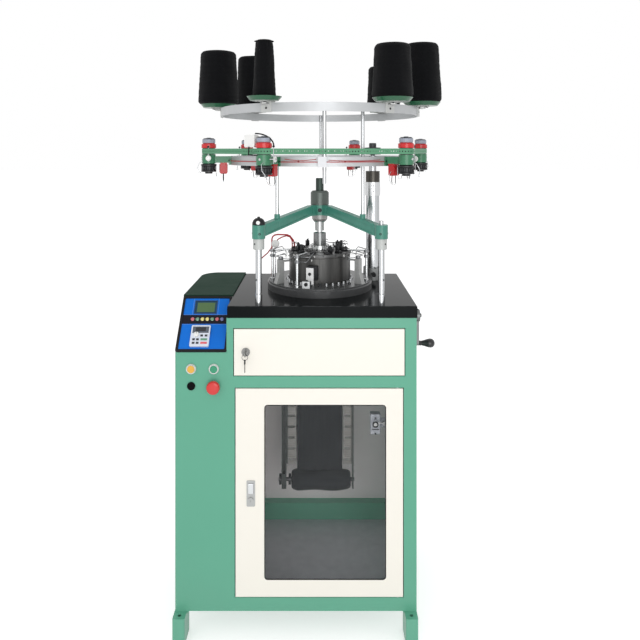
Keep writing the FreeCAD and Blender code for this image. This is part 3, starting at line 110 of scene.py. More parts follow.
def round_steps(steps: int) -> list[float]:
    """Equal steps round a circle.

    Args:
        steps: how many there are.

    Returns:
        The angle of each, in radians.
    """
    return [math.tau * step / steps for step in range(steps)]


# ---- shader sums
class Wire:
    """A shader socket that takes part in written sums."""

    def __init__(self, shader: "Shader", socket: bpy.types.NodeSocket) -> None:
        """Keep the socket and the shader that owns it."""
        self.shader = shader
        self.socket = socket

    def __add__(self, other: "Wire | float") -> "Wire":
        """The sum of the two."""
        return self.shader.maths("ADD", self, other)

    __radd__ = __add__

    def __sub__(self, other: "Wire | float") -> "Wire":
        """This less the other."""
        return self.shader.maths("SUBTRACT", self, other)

    def __rsub__(self, other: float) -> "Wire":
        """The number less this."""
        return self.shader.maths("SUBTRACT", other, self)

    def __mul__(self, other: "Wire | float") -> "Wire":
        """The product of the two."""
        return self.shader.maths("MULTIPLY", self, other)

    __rmul__ = __mul__

    def __truediv__(self, other: "Wire | float") -> "Wire":
        """This over the other."""
        return self.shader.maths("DIVIDE", self, other)

    def __abs__(self) -> "Wire":
        """The size of the value without its sign."""
        return self.shader.maths("ABSOLUTE", self)

    def sine(self) -> "Wire":
        """The sine of the value, in radians."""
        return self.shader.maths("SINE", self)

    def part(self) -> "Wire":
        """What is left of the value after its whole number."""
        return self.shader.maths("FRACT", self)

    def least(self, other: "Wire | float") -> "Wire":
        """The smaller of the two."""
        return self.shader.maths("MINIMUM", self, other)

    def most(self, other: "Wire | float") -> "Wire":
        """The larger of the two."""
        return self.shader.maths("MAXIMUM", self, other)

    def above(self, edge: "Wire | float", soft: float = 0.0004) -> "Wire":
        """1 over an edge and 0 under it."""
        return self.shader.maths("ADD", (self - edge) / soft, 0.5, clamp=True)

    def below(self, edge: "Wire | float", soft: float = 0.0004) -> "Wire":
        """1 under an edge and 0 over it."""
        return 1.0 - self.above(edge, soft)

    def between(self, low: float, high: float, soft: float = 0.0004) -> "Wire":
        """1 between two edges and 0 outside them."""
        return self.above(low, soft) * self.below(high, soft)


Value = Wire | float | Colour


@dataclass
class Skin:
    """What a finish sends to the shader of its surface."""

    colour: Value
    roughness: Value = 0.5
    metallic: Value = 0.0
    height: Wire | None = None
    alpha: Value = 1.0
    glow: Value | None = None

    def lay(self, mask: Wire, colour: Value) -> None:
        """Lay another colour on where a mask says so."""
        self.colour = mask.shader.mix(mask, self.colour, colour)


class Shader:
    """The node tree of one material, or of the world."""

    def __init__(self, owner: bpy.types.Material | bpy.types.World) -> None:
        """Start with the owner's tree empty.

        Args:
            owner: the material whose nodes are made here.
        """
        self.owner = owner
        owner.use_nodes = True
        self.tree = owner.node_tree
        self.tree.nodes.clear()

    def node(self, kind: str, settings: Mapping[str, Any], inputs: Mapping[str | int, Any]) -> bpy.types.Node:
        """Add one node.

        Args:
            kind: Blender's name of the node's type.
            settings: its own settings, such as an operation; "stops" fills a ramp.
            inputs: a value or a wire for each socket, by name or place.

        Returns:
            The new node.
        """
        made = self.tree.nodes.new(kind)
        for key, value in settings.items():
            if key == "stops":
                ramp = made.color_ramp.elements
                while len(ramp) < len(value):
                    ramp.new(0.5)
                for stop, (place, colour) in zip(ramp, value):
                    stop.position = place
                    stop.color = (*colour, 1.0)
            else:
                setattr(made, key, value)
        for key, value in inputs.items():
            socket = made.inputs[key]
            if isinstance(value, Wire):
                self.tree.links.new(value.socket, socket)
            elif isinstance(value, tuple) and len(value) == 3 and socket.type == "RGBA":
                socket.default_value = (*value, 1.0)
            else:
                socket.default_value = value
        return made

    def maths(self, operation: str, *values: Wire | float, clamp: bool = False) -> Wire:
        """A sum on plain values as one Math node.

        Args:
            operation: the Math node's operation.
            *values: what it works on.
            clamp: hold the outcome between 0 and 1.

        Returns:
            The outcome.
        """
        settings = {"operation": operation, "use_clamp": clamp}
        made = self.node("ShaderNodeMath", settings, dict(enumerate(values)))
        return Wire(self, made.outputs[0])

    def mix(self, factor: Wire | float, under: Value, over: Value) -> Wire:
        """Lay one colour over another."""
        made = self.node("ShaderNodeMix", {"data_type": "RGBA"}, {0: factor, 6: under, 7: over})
        return Wire(self, made.outputs[2])

    def place(self) -> tuple[Wire, Wire, Wire]:
        """The point's x, y and z in its object's own frame.

        Returns:
            The three values.
        """
        where = self.node("ShaderNodeTexCoord", {}, {})
        split = self.node("ShaderNodeSeparateXYZ", {}, {0: Wire(self, where.outputs["Object"])})
        return tuple(Wire(self, socket) for socket in split.outputs)

    def noise(self, scale: float, detail: float = 2.0, stretch: Point = (1.0, 1.0, 1.0)) -> Wire:
        """Soft random values over the surface.

        Args:
            scale: lumps in a metre.
            detail: how many finer layers are added.
            stretch: how much quicker the pattern runs along each axis.

        Returns:
            Values round 0.5.
        """
        where = self.node("ShaderNodeTexCoord", {}, {})
        scaled = self.node("ShaderNodeVectorMath", {"operation": "MULTIPLY"},
                           {0: Wire(self, where.outputs["Object"]), 1: stretch})
        made = self.node("ShaderNodeTexNoise", {},
                         {"Vector": Wire(self, scaled.outputs[0]), "Scale": scale, "Detail": detail})
        return Wire(self, made.outputs["Fac"])

    def facing(self) -> tuple[Wire, Wire, Wire]:
        """The surface's normal in the object's own frame, as its three parts.

        Returns:
            The three values.
        """
        where = self.node("ShaderNodeTexCoord", {}, {})
        split = self.node("ShaderNodeSeparateXYZ", {}, {0: Wire(self, where.outputs["Normal"])})
        return tuple(Wire(self, socket) for socket in split.outputs)

    def reach(self, first: Wire, second: Wire) -> Wire:
        """How far a place lies from an axis, from its distances along two directions."""
        return self.maths("SQRT", first * first + second * second)

    def bars(self) -> Wire:
        """Painted reflection for an upright chromed bar: how dark each place round it is painted, 0 to 1,
        from the way its face turns, as a bright room would reflect in it.

        Returns:
            How dark each place is, 0 to 1.
        """
        # painted reflection: dark and light bands come from the face's direction, not from any lamp
        normal_x, normal_y, _ = self.facing()
        turn = self.maths("ARCTAN2", normal_y, normal_x)
        wide = (turn * 2.0 + math.pi / 2.0).sine() * 0.5 + 0.5
        fine = (turn * 6.0 + 0.4).sine() * 0.5 + 0.5
        return wide * wide * 0.75 + fine * 0.25

    def finish(self, skin: Skin, fixed: Mapping[str, Any]) -> bpy.types.Material:
        """Join a skin to the surface shader.

        Args:
            skin: the values that change over the surface.
            fixed: constants for other sockets, by name.

        Returns:
            The finished material.
        """
        inputs: dict[str | int, Any] = {"Base Color": skin.colour, "Roughness": skin.roughness,
                                        "Metallic": skin.metallic, "Alpha": skin.alpha, **fixed}
        if skin.glow is not None:
            inputs["Emission Color"] = skin.glow
        if skin.height is not None:
            bump = self.node("ShaderNodeBump", {}, {"Height": skin.height, "Distance": 1.0, "Strength": 1.0})
            inputs["Normal"] = Wire(self, bump.outputs[0])
        surface = self.node("ShaderNodeBsdfPrincipled", {}, inputs)
        self.node("ShaderNodeOutputMaterial", {}, {0: Wire(self, surface.outputs[0])})
        return self.owner


# ---- finishes
MADE: dict[str, bpy.types.Material] = {}


@dataclass(frozen=True)
class Finish:
    """A finish of one even colour that drifts a little; the others build on it."""

    name: str
    colour: Colour
    roughness: float = 0.45
    metallic: float = 0.0
    coat: float = 0.0
    drift: float = 0.05
    drift_scale: float = 7.0
    grain: float = 0.00002
    grain_scale: float = 900.0
    specular: float = 0.5

    def drifted(self, shader: Shader, colour: Value | None = None) -> Wire:
        """The colour with its slow light and dark patches.

        Args:
            shader: the material.
            colour: another colour than the finish's own.

        Returns:
            The colour over the surface.
        """
        base = self.colour if colour is None else colour
        patches = shader.noise(self.drift_scale, 4.0)
        shade = shader.mix(self.drift, base, (0.0, 0.0, 0.0))
        return shader.mix(patches, shade, base)

    def skin(self, shader: Shader) -> Skin:
        """The finish's values over the surface.

        Args:
            shader: the material.

        Returns:
            The values over the surface.
        """
        worn = shader.noise(self.drift_scale * 3.0, 3.0)
        return Skin(self.drifted(shader), self.roughness * (0.85 + worn * 0.3), self.metallic,
                    shader.noise(self.grain_scale) * self.grain)

    def fixed(self) -> dict[str, Any]:
        """Constants for the shader's other sockets."""
        return {"Coat Weight": self.coat, "Coat Roughness": 0.12, "Specular IOR Level": self.specular}

    def material(self) -> bpy.types.Material:
        """The finish as a material, made once.

        Returns:
            The material.
        """
        if self.name not in MADE:
            shader = Shader(bpy.data.materials.new(self.name))
            MADE[self.name] = shader.finish(self.skin(shader), self.fixed())
        return MADE[self.name]


@dataclass(frozen=True)
class PowderCoat(Finish):
    """Sprayed and baked paint on sheet steel, with its fine orange peel and a little dust low down."""

    roughness: float = 0.38
    coat: float = 0.15
    grain: float = 0.00004
    grain_scale: float = 420.0
    dust: float = 0.1

    def skin(self, shader: Shader) -> Skin:
        """Paint that greys a little towards the floor.

        Args:
            shader: the material.

        Returns:
            The values over the surface.
        """
        skin = super().skin(shader)
        _, _, z = shader.place()
        low = (1.0 - z.above(0.16, 0.25)) * shader.noise(24.0, 5.0) * self.dust
        skin.lay(low, tone(150, 148, 140))
        return skin


@dataclass(frozen=True)
class TurnedSteel(Finish):
    """Bright steel with the fine rings that a lathe leaves."""

    roughness: float = 0.2
    metallic: float = 1.0
    rings: float = 2600.0
    drift: float = 0.12

    def skin(self, shader: Shader) -> Skin:
        """Metal with rings across the axis it was turned on, taken as upright.

        Args:
            shader: the material.

        Returns:
            The values over the surface.
        """
        lines = shader.noise(self.rings / 40.0, 2.0, (0.02, 0.02, 40.0))
        smudge = shader.noise(30.0, 4.0)
        return Skin(self.drifted(shader), self.roughness * 0.6 + smudge * self.roughness * 0.8, self.metallic,
                    lines * 0.000006)


@dataclass(frozen=True)
class GroundBar(TurnedSteel):
    """Chromed round bar, with painted reflection: upright dark and light bands laid on its colour, as a
    bright room would leave on it.
    """

    depth: float = 0.85

    def skin(self, shader: Shader) -> Skin:
        """Bright metal with painted reflection: darkened in bands that run along the bar.

        Args:
            shader: the material.

        Returns:
            The values over the surface.
        """
        skin = super().skin(shader)
        # painted reflection: upright bands darkened by the way each face turns
        skin.lay(shader.bars() * self.depth, tone(58, 59, 61))
        return skin


@dataclass(frozen=True)
class CastPaint(Finish):
    """Enamel over a sand casting: uneven underneath, glossy on top."""

    roughness: float = 0.3
    coat: float = 0.3
    drift: float = 0.14
    drift_scale: float = 22.0

    def skin(self, shader: Shader) -> Skin:
        """Paint on a rough base.

        Args:
            shader: the material.

        Returns:
            The values over the surface.
        """
        skin = super().skin(shader)
        skin.height = shader.noise(150.0, 4.0) * 0.0004 + shader.noise(34.0, 2.0) * 0.0008
        return skin


Layers = Callable[[Shader, Skin], None]


@dataclass(frozen=True)
class Masked(Finish):
    """A finish that takes other colours where its masks say so."""

    layers: Layers = lambda shader, skin: None

    def skin(self, shader: Shader) -> Skin:
        """The plain skin with the layers laid on it.

        Args:
            shader: the material.

        Returns:
            The values over the surface.
        """
        skin = super().skin(shader)
        self.layers(shader, skin)
        return skin


@dataclass(frozen=True)
class Knit(Finish):
    """A fine knitted fabric, its stitches in upright wales."""

    wale: float = 0.0019
    course: float = 0.0014
    roughness: float = 0.95
    drift: float = 0.3

    def skin(self, shader: Shader) -> Skin:
        """Rows of loops as height, with painted shade darkening the hollows between them.

        Args:
            shader: the material.

        Returns:
            The values over the surface.
        """
        x, y, z = shader.place()
        across = (x + y * 0.35) / self.wale
        leaning = abs(across.part() - 0.5)
        loops = ((z / self.course + leaning * 1.4) * math.tau).sine() * 0.5 + 0.5
        ribs = (across * math.pi).sine()
        stitch = loops * abs(ribs)
        # painted shade: the hollows between the loops are laid 5% darker than the crests
        colour = shader.mix(stitch, shader.mix(0.05, self.colour, (0.0, 0.0, 0.0)), self.drifted(shader))
        return Skin(colour, self.roughness, 0.0, stitch * 0.00001 + shader.noise(26.0, 3.0) * 0.0015)

    def fixed(self) -> dict[str, Any]:
        """Cloth has a soft sheen."""
        return {"Sheen Weight": 0.15, "Sheen Roughness": 0.5, "Specular IOR Level": 0.15}


@dataclass(frozen=True)
class WoundYarn(Finish):
    """Yarn cross-wound on a package, drawn in the package's own frame with its axis as z."""

    roughness: float = 0.92
    drift: float = 0.35
    drift_scale: float = 30.0

    def skin(self, shader: Shader) -> Skin:
        """Two sets of slanted turns that cross, with painted highlight on their crests and painted shade in
        the grooves, broken by random fluff.

        Args:
            shader: the material.

        Returns:
            The values over the surface.
        """
        x, y, z = shader.place()
        turn = shader.maths("ARCTAN2", y, x)
        one = (z * 1700.0 + turn * 9.0).sine()
        two = (z * 1700.0 - turn * 9.0).sine()
        turns = one.most(two)
        fluff = shader.noise(700.0, 4.0)
        # painted light and shade: crests of the turns lighter, grooves darker, mixed with random fluff
        colour = shader.mix((turns * 0.5 + 0.5) * fluff, shader.mix(0.5, self.colour, (0.0, 0.0, 0.0)),
                            self.drifted(shader, tuple(c * 1.5 for c in self.colour)))
        return Skin(colour, self.roughness, 0.0, turns * 0.00025 + fluff * 0.0004)

    def fixed(self) -> dict[str, Any]:
        """A soft sheen from loose fibre."""
        return {"Sheen Weight": 0.06, "Sheen Roughness": 0.6, "Specular IOR Level": 0.08}


@dataclass(frozen=True)
class ClearSheet(Finish):
    """A clear pane or a clear coloured moulding."""

    alpha: float = 0.2
    roughness: float = 0.06

    def skin(self, shader: Shader) -> Skin:
        """See-through, with faint wiping marks."""
        marks = shader.noise(14.0, 5.0, (1.0, 1.0, 2.5))
        return Skin(self.drifted(shader), self.roughness + marks * 0.05, 0.0, None, self.alpha + marks * 0.04)


# ---- mesh work
class Bench:
    """Gathers the faces of one piece, then makes the piece of them."""

    def __init__(self, origin: Vector | None = None) -> None:
        """Start with nothing; origin becomes the piece's own origin."""
        self.mesh = bmesh.new()
        self.origin = Vector((0.0, 0.0, 0.0)) if origin is None else origin

    def ring(self, points: Iterable[Vector]) -> Row:
        """Add a row of points."""
        return [self.mesh.verts.new(point - self.origin) for point in points]

    def bridge(self, one: Row, two: Row, closed: bool = True) -> None:
        """Join two rows of points with faces.

        Args:
            one: the first row; a row of one point is a tip.
            two: the second row.
            closed: join the rows' ends as well.
        """
        count = max(len(one), len(two))
        for k in range(count if closed else count - 1):
            after = (k + 1) % count
            corners = [one[k % len(one)], one[after % len(one)], two[after % len(two)], two[k % len(two)]]
            kept = list(dict.fromkeys(corners))
            if len(kept) > 2:
                self.mesh.faces.new(kept)

    def turn(self, profile: Profile, centre: Vector, axis: Vector = UP, steps: int = 40,
             wobble: Callable[[float, float], float] | None = None) -> None:
        """Add a turned form.

        Args:
            profile: pairs of radius and distance along the axis; a radius of 0 closes an end.
            centre: where the axis starts.
            axis: the axis's direction.
            steps: faces round the axis.
            wobble: how far the radius grows, from the turn in radians and the distance along.
        """
        swing = axis.to_track_quat("Z", "Y")
        rows = []
        for radius, along in profile:
            row = []
            for k in range(steps if radius > 0 else 1):
                turn = math.tau * k / steps
                wide = radius + (wobble(turn, along) if wobble and radius > 0 else 0.0)
                row.append(centre + swing @ Vector((wide * math.cos(turn), wide * math.sin(turn), along)))
            rows.append(self.ring(row))
        for one, two in zip(rows, rows[1:]):
            self.bridge(one, two)

    def rod(self, points: Sequence[Vector], radius: float, steps: int = 10, closed: bool = False) -> None:
        """Add a round wire along points.

        Args:
            points: the wire's middle line.
            radius: the wire's radius.
            steps: faces round the wire.
            closed: join the last point to the first.
        """
        rows = []
        side: Vector | None = None
        count = len(points)
        for k, point in enumerate(points):
            before = points[k - 1] if k or closed else point
            after = points[(k + 1) % count] if k < count - 1 or closed else point
            run = (after - before).normalized()
            if side is None:
                side = run.orthogonal().normalized()
            side = (side - run * side.dot(run)).normalized()
            over = run.cross(side)
            rows.append(self.ring(point + (side * math.cos(turn) + over * math.sin(turn)) * radius
                                  for turn in round_steps(steps)))
        for one, two in zip(rows, rows[1:]):
            self.bridge(one, two)
        if closed:
            self.bridge(rows[-1], rows[0])
        else:
            self.mesh.faces.new(rows[0][::-1])
            self.mesh.faces.new(rows[-1])

    def loop(self, centre: Vector, first: Vector, second: Vector, radius: float, wire: float,
             steps: int = 28, faces: int = 8) -> None:
        """Add a round loop of wire, from its first direction round by the second."""
        self.rod([centre + (first * math.cos(turn) + second * math.sin(turn)) * radius
                         for turn in round_steps(steps)], wire, faces, True)

    def bent(self, place: Matrix, points: Iterable[Point], radius: float) -> None:
        """Add a wire whose points are given in a frame of its own."""
        self.rod([place @ Vector(point) for point in points], radius, 8)

    def plate(self, outline: Sequence[Pair], thickness: float, place: Matrix,
              rim: float = 0.0006) -> None:
        """Add a flat plate with eased edges.

        Args:
            outline: its corners in its own plane.
            thickness: how thick it is, along its own z.
            place: carries it from its own plane into the machine.
            rim: how far the edges are eased.
        """
        middle = Vector((sum(p[0] for p in outline), sum(p[1] for p in outline))) / len(outline)
        rows = []
        for height, inset in ((0.0, rim), (rim, 0.0), (thickness - rim, 0.0), (thickness, rim)):
            row = []
            for x, y in outline:
                out = Vector((x, y)) - middle
                shrunk = middle + out * (1.0 - inset / max(out.length, 1e-6))
                row.append(place @ Vector((shrunk.x, shrunk.y, height)))
            rows.append(self.ring(row))
        for one, two in zip(rows, rows[1:]):
            self.bridge(one, two)
        self.mesh.faces.new(rows[0][::-1])
        self.mesh.faces.new(rows[-1])

    def block(self, low: Vector, high: Vector, place: Matrix | None = None, rim: float = 0.0008) -> None:
        """Add a block with eased edges.

        Args:
            low: its low corner in its own frame.
            high: its high corner.
            place: carries it from its own frame into the machine.
            rim: how far the edges are eased.
        """
        outline = [(low.x, low.y), (high.x, low.y), (high.x, high.y), (low.x, high.y)]
        carry = (place or Matrix.Identity(4)) @ Matrix.Translation((0.0, 0.0, low.z))
        self.plate(outline, high.z - low.z, carry, rim)

    def screw(self, centre: Vector, axis: Vector, radius: float, height: float,
              socket: bool = True) -> None:
        """Add a cap screw's head.

        Args:
            centre: the middle of its seat.
            axis: the direction that it points out.
            radius: the head's radius.
            height: the head's height.
            socket: give it a hexagon socket.
        """
        inner = radius * 0.52
        self.turn([(radius, 0.0), (radius, height - 0.0005), (radius - 0.0005, height),
                   (inner if socket else 0.0, height)], centre, axis, 20)
        if socket:
            self.turn([(inner, height), (inner * 0.96, height * 0.45), (0.0, height * 0.4)], centre, axis, 6)

    def done(self, name: str, finish: Finish, body: str = "machine", slot: str = "screw_steel",
             replaces: Sequence[str] = (), smooth: float = 38.0) -> bpy.types.Object:
        """Make the piece.

        Args:
            name: the piece's name.
            finish: what it is finished in.
            body: the CAD body it moves with.
            slot: the name of a material slot; not used.
            replaces: CAD nodes that it stands for.
            smooth: edges sharper than this many degrees stay sharp.

        Returns:
            The new object.
        """
        bmesh.ops.remove_doubles(self.mesh, verts=self.mesh.verts, dist=1e-6)
        bmesh.ops.recalc_face_normals(self.mesh, faces=self.mesh.faces)
        data = bpy.data.meshes.new(name)
        self.mesh.to_mesh(data)
        self.mesh.free()
        piece = bpy.data.objects.new(name, data)
        piece.location = self.origin
        bpy.context.scene.collection.objects.link(piece)
        data.materials.append(finish.material())
        for face in data.polygons:
            face.use_smooth = True
        data.set_sharp_from_angle(angle=math.radians(smooth))
        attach(piece, body)
        if replaces:
            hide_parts(*replaces)
        LOG.info("%s rides on %s: %d faces", name, body, len(data.polygons))
        return piece


def upright(place: Vector, angle: float) -> Matrix:
    """A frame that stands upright at a place.

    Args:
        place: where it stands.
        angle: its x points away from the spindle at this many degrees from straight ahead.

    Returns:
        The frame.
    """
    x, z = outward(angle), UP
    y = z.cross(x)
    return Matrix.Translation(place) @ Matrix((x, y, z)).transposed().to_4x4()


class Assembly:
    """A sub-assembly of the machine."""

    def dress(self, nodes: Mapping[Finish, Sequence[str]]) -> None:
        """Give CAD nodes their finishes.

        Args:
            nodes: the names of the nodes that take each finish.
        """
        for finish, names in nodes.items():
            for name in names:
                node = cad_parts[name]
                if not node.material_slots:
                    node.data.materials.append(None)
                for slot in node.material_slots:
                    slot.material = finish.material()
                LOG.info("%s is finished in %s", name, finish.name)

    def build(self) -> None:
        """Make and dress everything in the sub-assembly."""
        raise NotImplementedError


# ---- finishes of this machine
GREEN = PowderCoat("cabinet_green", tone(98, 171, 144), specular=0.3)
INNER = PowderCoat("inner_grey", tone(224, 219, 217), roughness=0.5)
CREAM = PowderCoat("cream_paint", tone(246, 242, 232), drift=0.02, dust=0.02)
LID = PowderCoat("lid_dark", tone(36, 62, 50), roughness=0.55, coat=0.0, specular=0.03)
BRIGHT = TurnedSteel("polished_steel", tone(214, 216, 218), roughness=0.17)
SATIN = TurnedSteel("satin_steel", tone(176, 177, 176), roughness=0.42)
BLUED = TurnedSteel("blued_steel", tone(74, 75, 77), roughness=0.36, metallic=0.85)
DARK = TurnedSteel("oxide_steel", tone(40, 41, 43), roughness=0.42, metallic=0.6)
BRIDGE = CastPaint("bridge_green", tone(74, 146, 128), drift=0.3, coat=0.15, specular=0.35)
FLANGE = CastPaint("flange_black", tone(66, 67, 68), roughness=0.3, coat=0.0, specular=0.45)
BLACK = Finish("black_plastic", tone(19, 19, 23), roughness=0.4, grain=0.00003, specular=0.2)
HOOP = TurnedSteel("hoop_bright", tone(196, 198, 200), roughness=0.4, metallic=0.4)
WHITE = Finish("white_plastic", tone(240, 240, 238), roughness=0.35, drift=0.03)
GREY = Finish("grey_plastic", tone(170, 174, 182), roughness=0.4)
RED = ClearSheet("clear_red", tone(196, 34, 38), alpha=0.9, roughness=0.18)
WIRE_RED = Finish("wire_red", tone(178, 34, 40), roughness=0.4)
FEEDER = Finish("feeder_green", tone(56, 124, 88), roughness=0.32, coat=0.2)
PALE_STEEL = Finish("plated_pale", tone(222, 223, 222), roughness=0.35, metallic=0.35)
KNIT = Knit("knit_black", tone(52, 53, 57))
LAMP_COLOURS = ((205, 100, 108), (112, 158, 124), (236, 220, 132), (236, 220, 132), (112, 158, 124),
                (205, 100, 108), (108, 116, 168))


class Slope:
    """The control column's slope as a frame: across, up the slope and out of it."""

    corner = Vector((-0.414, -0.26, 0.84295))
    angle = math.radians(48.4)
    width = 0.153
    length = 0.1806

    @classmethod
    def axes(cls, shader: Shader) -> tuple[Wire, Wire, Wire]:
        """The point's places across, up and out of the slope, in a material.

        Args:
            shader: the material.

        Returns:
            The three places, in metres.
        """
        x, y, z = shader.place()
        cos, sin = math.cos(cls.angle), math.sin(cls.angle)
        level, rise = y - cls.corner.y, z - cls.corner.z
        return x - cls.corner.x, level * cos + rise * sin, rise * cos - level * sin

    @classmethod
    def frame(cls, across: float, up: float, out: float) -> Matrix:
        """A frame on the slope, its z pointing out of the slope."""
        tilt = Matrix.Rotation(cls.angle, 4, "X")
        return Matrix.Translation(cls.corner) @ tilt @ Matrix.Translation((across, up, out))


# ---- cabinet
@dataclass
class Cabinet(Assembly):
    """The steel cabinet, its table, drawer and glazed door."""

    front: float = -0.262
    left: float = -0.415
    right: float = 0.299
    back: float = 0.208
    screw_low: float = 0.13
    crank_height: float = 0.881
    key_eye: Point = (-0.2048, -0.285, 0.845)
    switch_eye: Point = (0.18, -0.2338, 0.619)
    back_sheet: float = 0.2069
    rail_top: float = 0.1435
    pan: Pair = (0.0815, 0.09)
    pan_reach: Pair = (-0.2575, 0.2055)
    slab_edge: Pair = (0.9782, 0.9796)
    window_low: Pair = (-0.1503, 0.173)
    window_high: Pair = (0.2087, 0.689)

    def back_layers(self, shader: Shader, skin: Skin) -> None:
        """Grey paint on the inside of the back sheet."""
        _, y, z = shader.place()
        skin.lay(y.below(self.back_sheet) * z.above(self.rail_top), tone(244, 237, 238))

    def base_layers(self, shader: Shader, skin: Skin) -> None:
        """Darker, scuffed paint on the top of the floor pan.

        Args:
            shader: the material.
            skin: the values that it changes.
        """
        _, y, z = shader.place()
        inside = z.between(*self.pan) * y.above(self.pan_reach[0]) * y.below(self.pan_reach[1])
        scuffed = shader.mix(shader.noise(40.0, 6.0), tone(178, 178, 186), tone(206, 206, 212))
        skin.lay(inside, scuffed)

    def slab_layers(self, shader: Shader, skin: Skin) -> None:
        """Rubbed edges and faint wiping marks on the table.

        Args:
            shader: the material.
            skin: the values that it changes.
        """
        _, _, z = shader.place()
        rubbed = z.between(*self.slab_edge, 0.0006) * shader.noise(60.0, 5.0).above(0.45, 0.3)
        skin.lay(rubbed * 0.25, tone(120, 122, 124))
        skin.roughness = 0.06 + shader.noise(9.0, 6.0, (1.0, 3.0, 1.0)) * 0.14

    def seals(self) -> None:
        """The black rubber seal round the window."""
        bench = Bench()
        (x0, z0), (x1, z1) = self.window_low, self.window_high
        radius = 0.01
        points = []
        for cx, cz, start in ((x1 - radius, z1 - radius, 0), (x0 + radius, z1 - radius, 90),
                              (x0 + radius, z0 + radius, 180), (x1 - radius, z0 + radius, 270)):
            for k in range(7):
                a = math.radians(start + 15 * k)
                points.append(Vector((cx + (radius - 0.001) * math.cos(a), self.front + 0.001,
                                      cz + (radius - 0.001) * math.sin(a))))
        bench.rod(points, 0.0016, 8, True)
        bench.done("window_seal", BLACK, "door", "black_plastic")

    def screws(self) -> None:
        """The screws of the side and back sheets, and the plate of the crank's bearing."""
        bench = Bench()
        for y in (-0.215, -0.026, 0.165):
            for z in (self.screw_low, 0.93):
                bench.screw(Vector((self.right, y, z)), RIGHT, 0.0045, 0.0028)
        for x in (-0.215, 0.02, 0.255):
            for z in (self.screw_low, 0.9):
                bench.screw(Vector((x, self.back, z)), -FRONT, 0.0045, 0.0028)
        for y in (-0.1, 0.09):
            bench.screw(Vector((self.left, y, self.screw_low)), -RIGHT, 0.0045, 0.0028)
        bench.done("sheet_screws", BRIGHT)
        bench = Bench()
        place = Vector((self.right, 0.0, self.crank_height))
        for k in range(4):
            turn = math.radians(45 + 90 * k)
            side = Vector((0, math.cos(turn), math.sin(turn)))
            bench.screw(place + side * 0.032, RIGHT, 0.004, 0.003)
        bench.turn([(0.0205, 0.0), (0.042, 0.0), (0.042, 0.0022), (0.041, 0.003), (0.0205, 0.003)],
                   place, RIGHT, 48)
        bench.done("crank_bearing_plate", SATIN)

    def spare_key(self) -> None:
        """The split ring through the drawer key's eye, and the second key that hangs from it."""
        ring_radius = 0.0085
        eye = Vector(self.key_eye)
        bench = Bench()
        bench.loop(eye - UP * ring_radius, UP, RIGHT, ring_radius, 0.0007, 32)
        bow = eye - UP * (2.0 * ring_radius + 0.0052)
        bench.loop(bow, UP, -FRONT, 0.0062, 0.0017)
        bench.block(Vector((-0.0009, -0.0032, -0.03)), Vector((0.0009, 0.0032, -0.0055)),
                    Matrix.Translation(bow), 0.0005)
        bench.done("spare_key", DARK, "drawer_key", "lock_steel")

    def switch_trim(self) -> None:
        """The door switch's cover screws, its round actuator and the roller lever over it."""
        bench, lever = Bench(), Bench()
        eye = Vector(self.switch_eye)
        for z in (0.5905, 0.6375):
            bench.screw(Vector((eye.x, eye.y, z)), FRONT, 0.0028, 0.0014)
        bench.turn([(0.0052, 0.0), (0.009, 0.0), (0.009, 0.0042), (0.008, 0.005), (0.0052, 0.005),
                    (0.0052, 0.0)], eye, FRONT, 32)
        bench.block(Vector((0.169, -0.2348, 0.602)), Vector((0.191, -0.2336, 0.6045)), None, 0.0003)
        lever.turn([(0.0, 0.0), (0.005, 0.0), (0.005, 0.003), (0.0, 0.003)], eye, FRONT, 24)
        lever.rod([Vector((0.18, -0.236, 0.619)), Vector((0.193, -0.2366, 0.6245)),
                   Vector((0.205, -0.2366, 0.6235))], 0.0018, 10)
        lever.turn([(0.0, -0.003), (0.006, -0.003), (0.0064, -0.0024), (0.0064, 0.0024), (0.006, 0.003),
                    (0.0, 0.003)], Vector((0.207, -0.2366, 0.6232)), FRONT, 28)
        bench.done("switch_cover_trim", DARK, "machine", "switch_grey")
        lever.done("switch_lever", SATIN)

    def coated(self, name: str, layers: Layers) -> Masked:
        """The cabinet's paint with other colours laid on it."""
        return Masked(name, GREEN.colour, roughness=GREEN.roughness, coat=GREEN.coat, grain=GREEN.grain,
                      grain_scale=GREEN.grain_scale, layers=layers)

    def build(self) -> None:
        """Finish the cabinet's nodes and add its small pieces."""
        back = self.coated("back_green", self.back_layers)
        base = self.coated("base_green", self.base_layers)
        slab = Masked("slab_paint", tone(20, 23, 24), drift=0.2, drift_scale=16.0, specular=0.05,
                      layers=self.slab_layers)
        lock = TurnedSteel("lock_steel", tone(132, 132, 130), roughness=0.3)
        glass = ClearSheet("window_glass", tone(128, 132, 132), alpha=0.03)
        self.dress({
            GREEN: ["column_housing", "cabinet_front", "right_side_panel"],
            back: ["back_panel"], base: ["base_frame"], slab: ["table_slab"], LID: ["column_top_cover"],
            INNER: ["inner_walls", "drawer_tray"], CREAM: ["door_frame", "drawer_front"],
            glass: ["door_window"], BRIGHT: ["latch_button"], lock: ["drawer_lock"],
            SATIN: ["door_hinges", "door_lock_plate"], GREY: ["door_switch"],
        })
        self.seals()
        self.screws()
        self.spare_key()
        self.switch_trim()


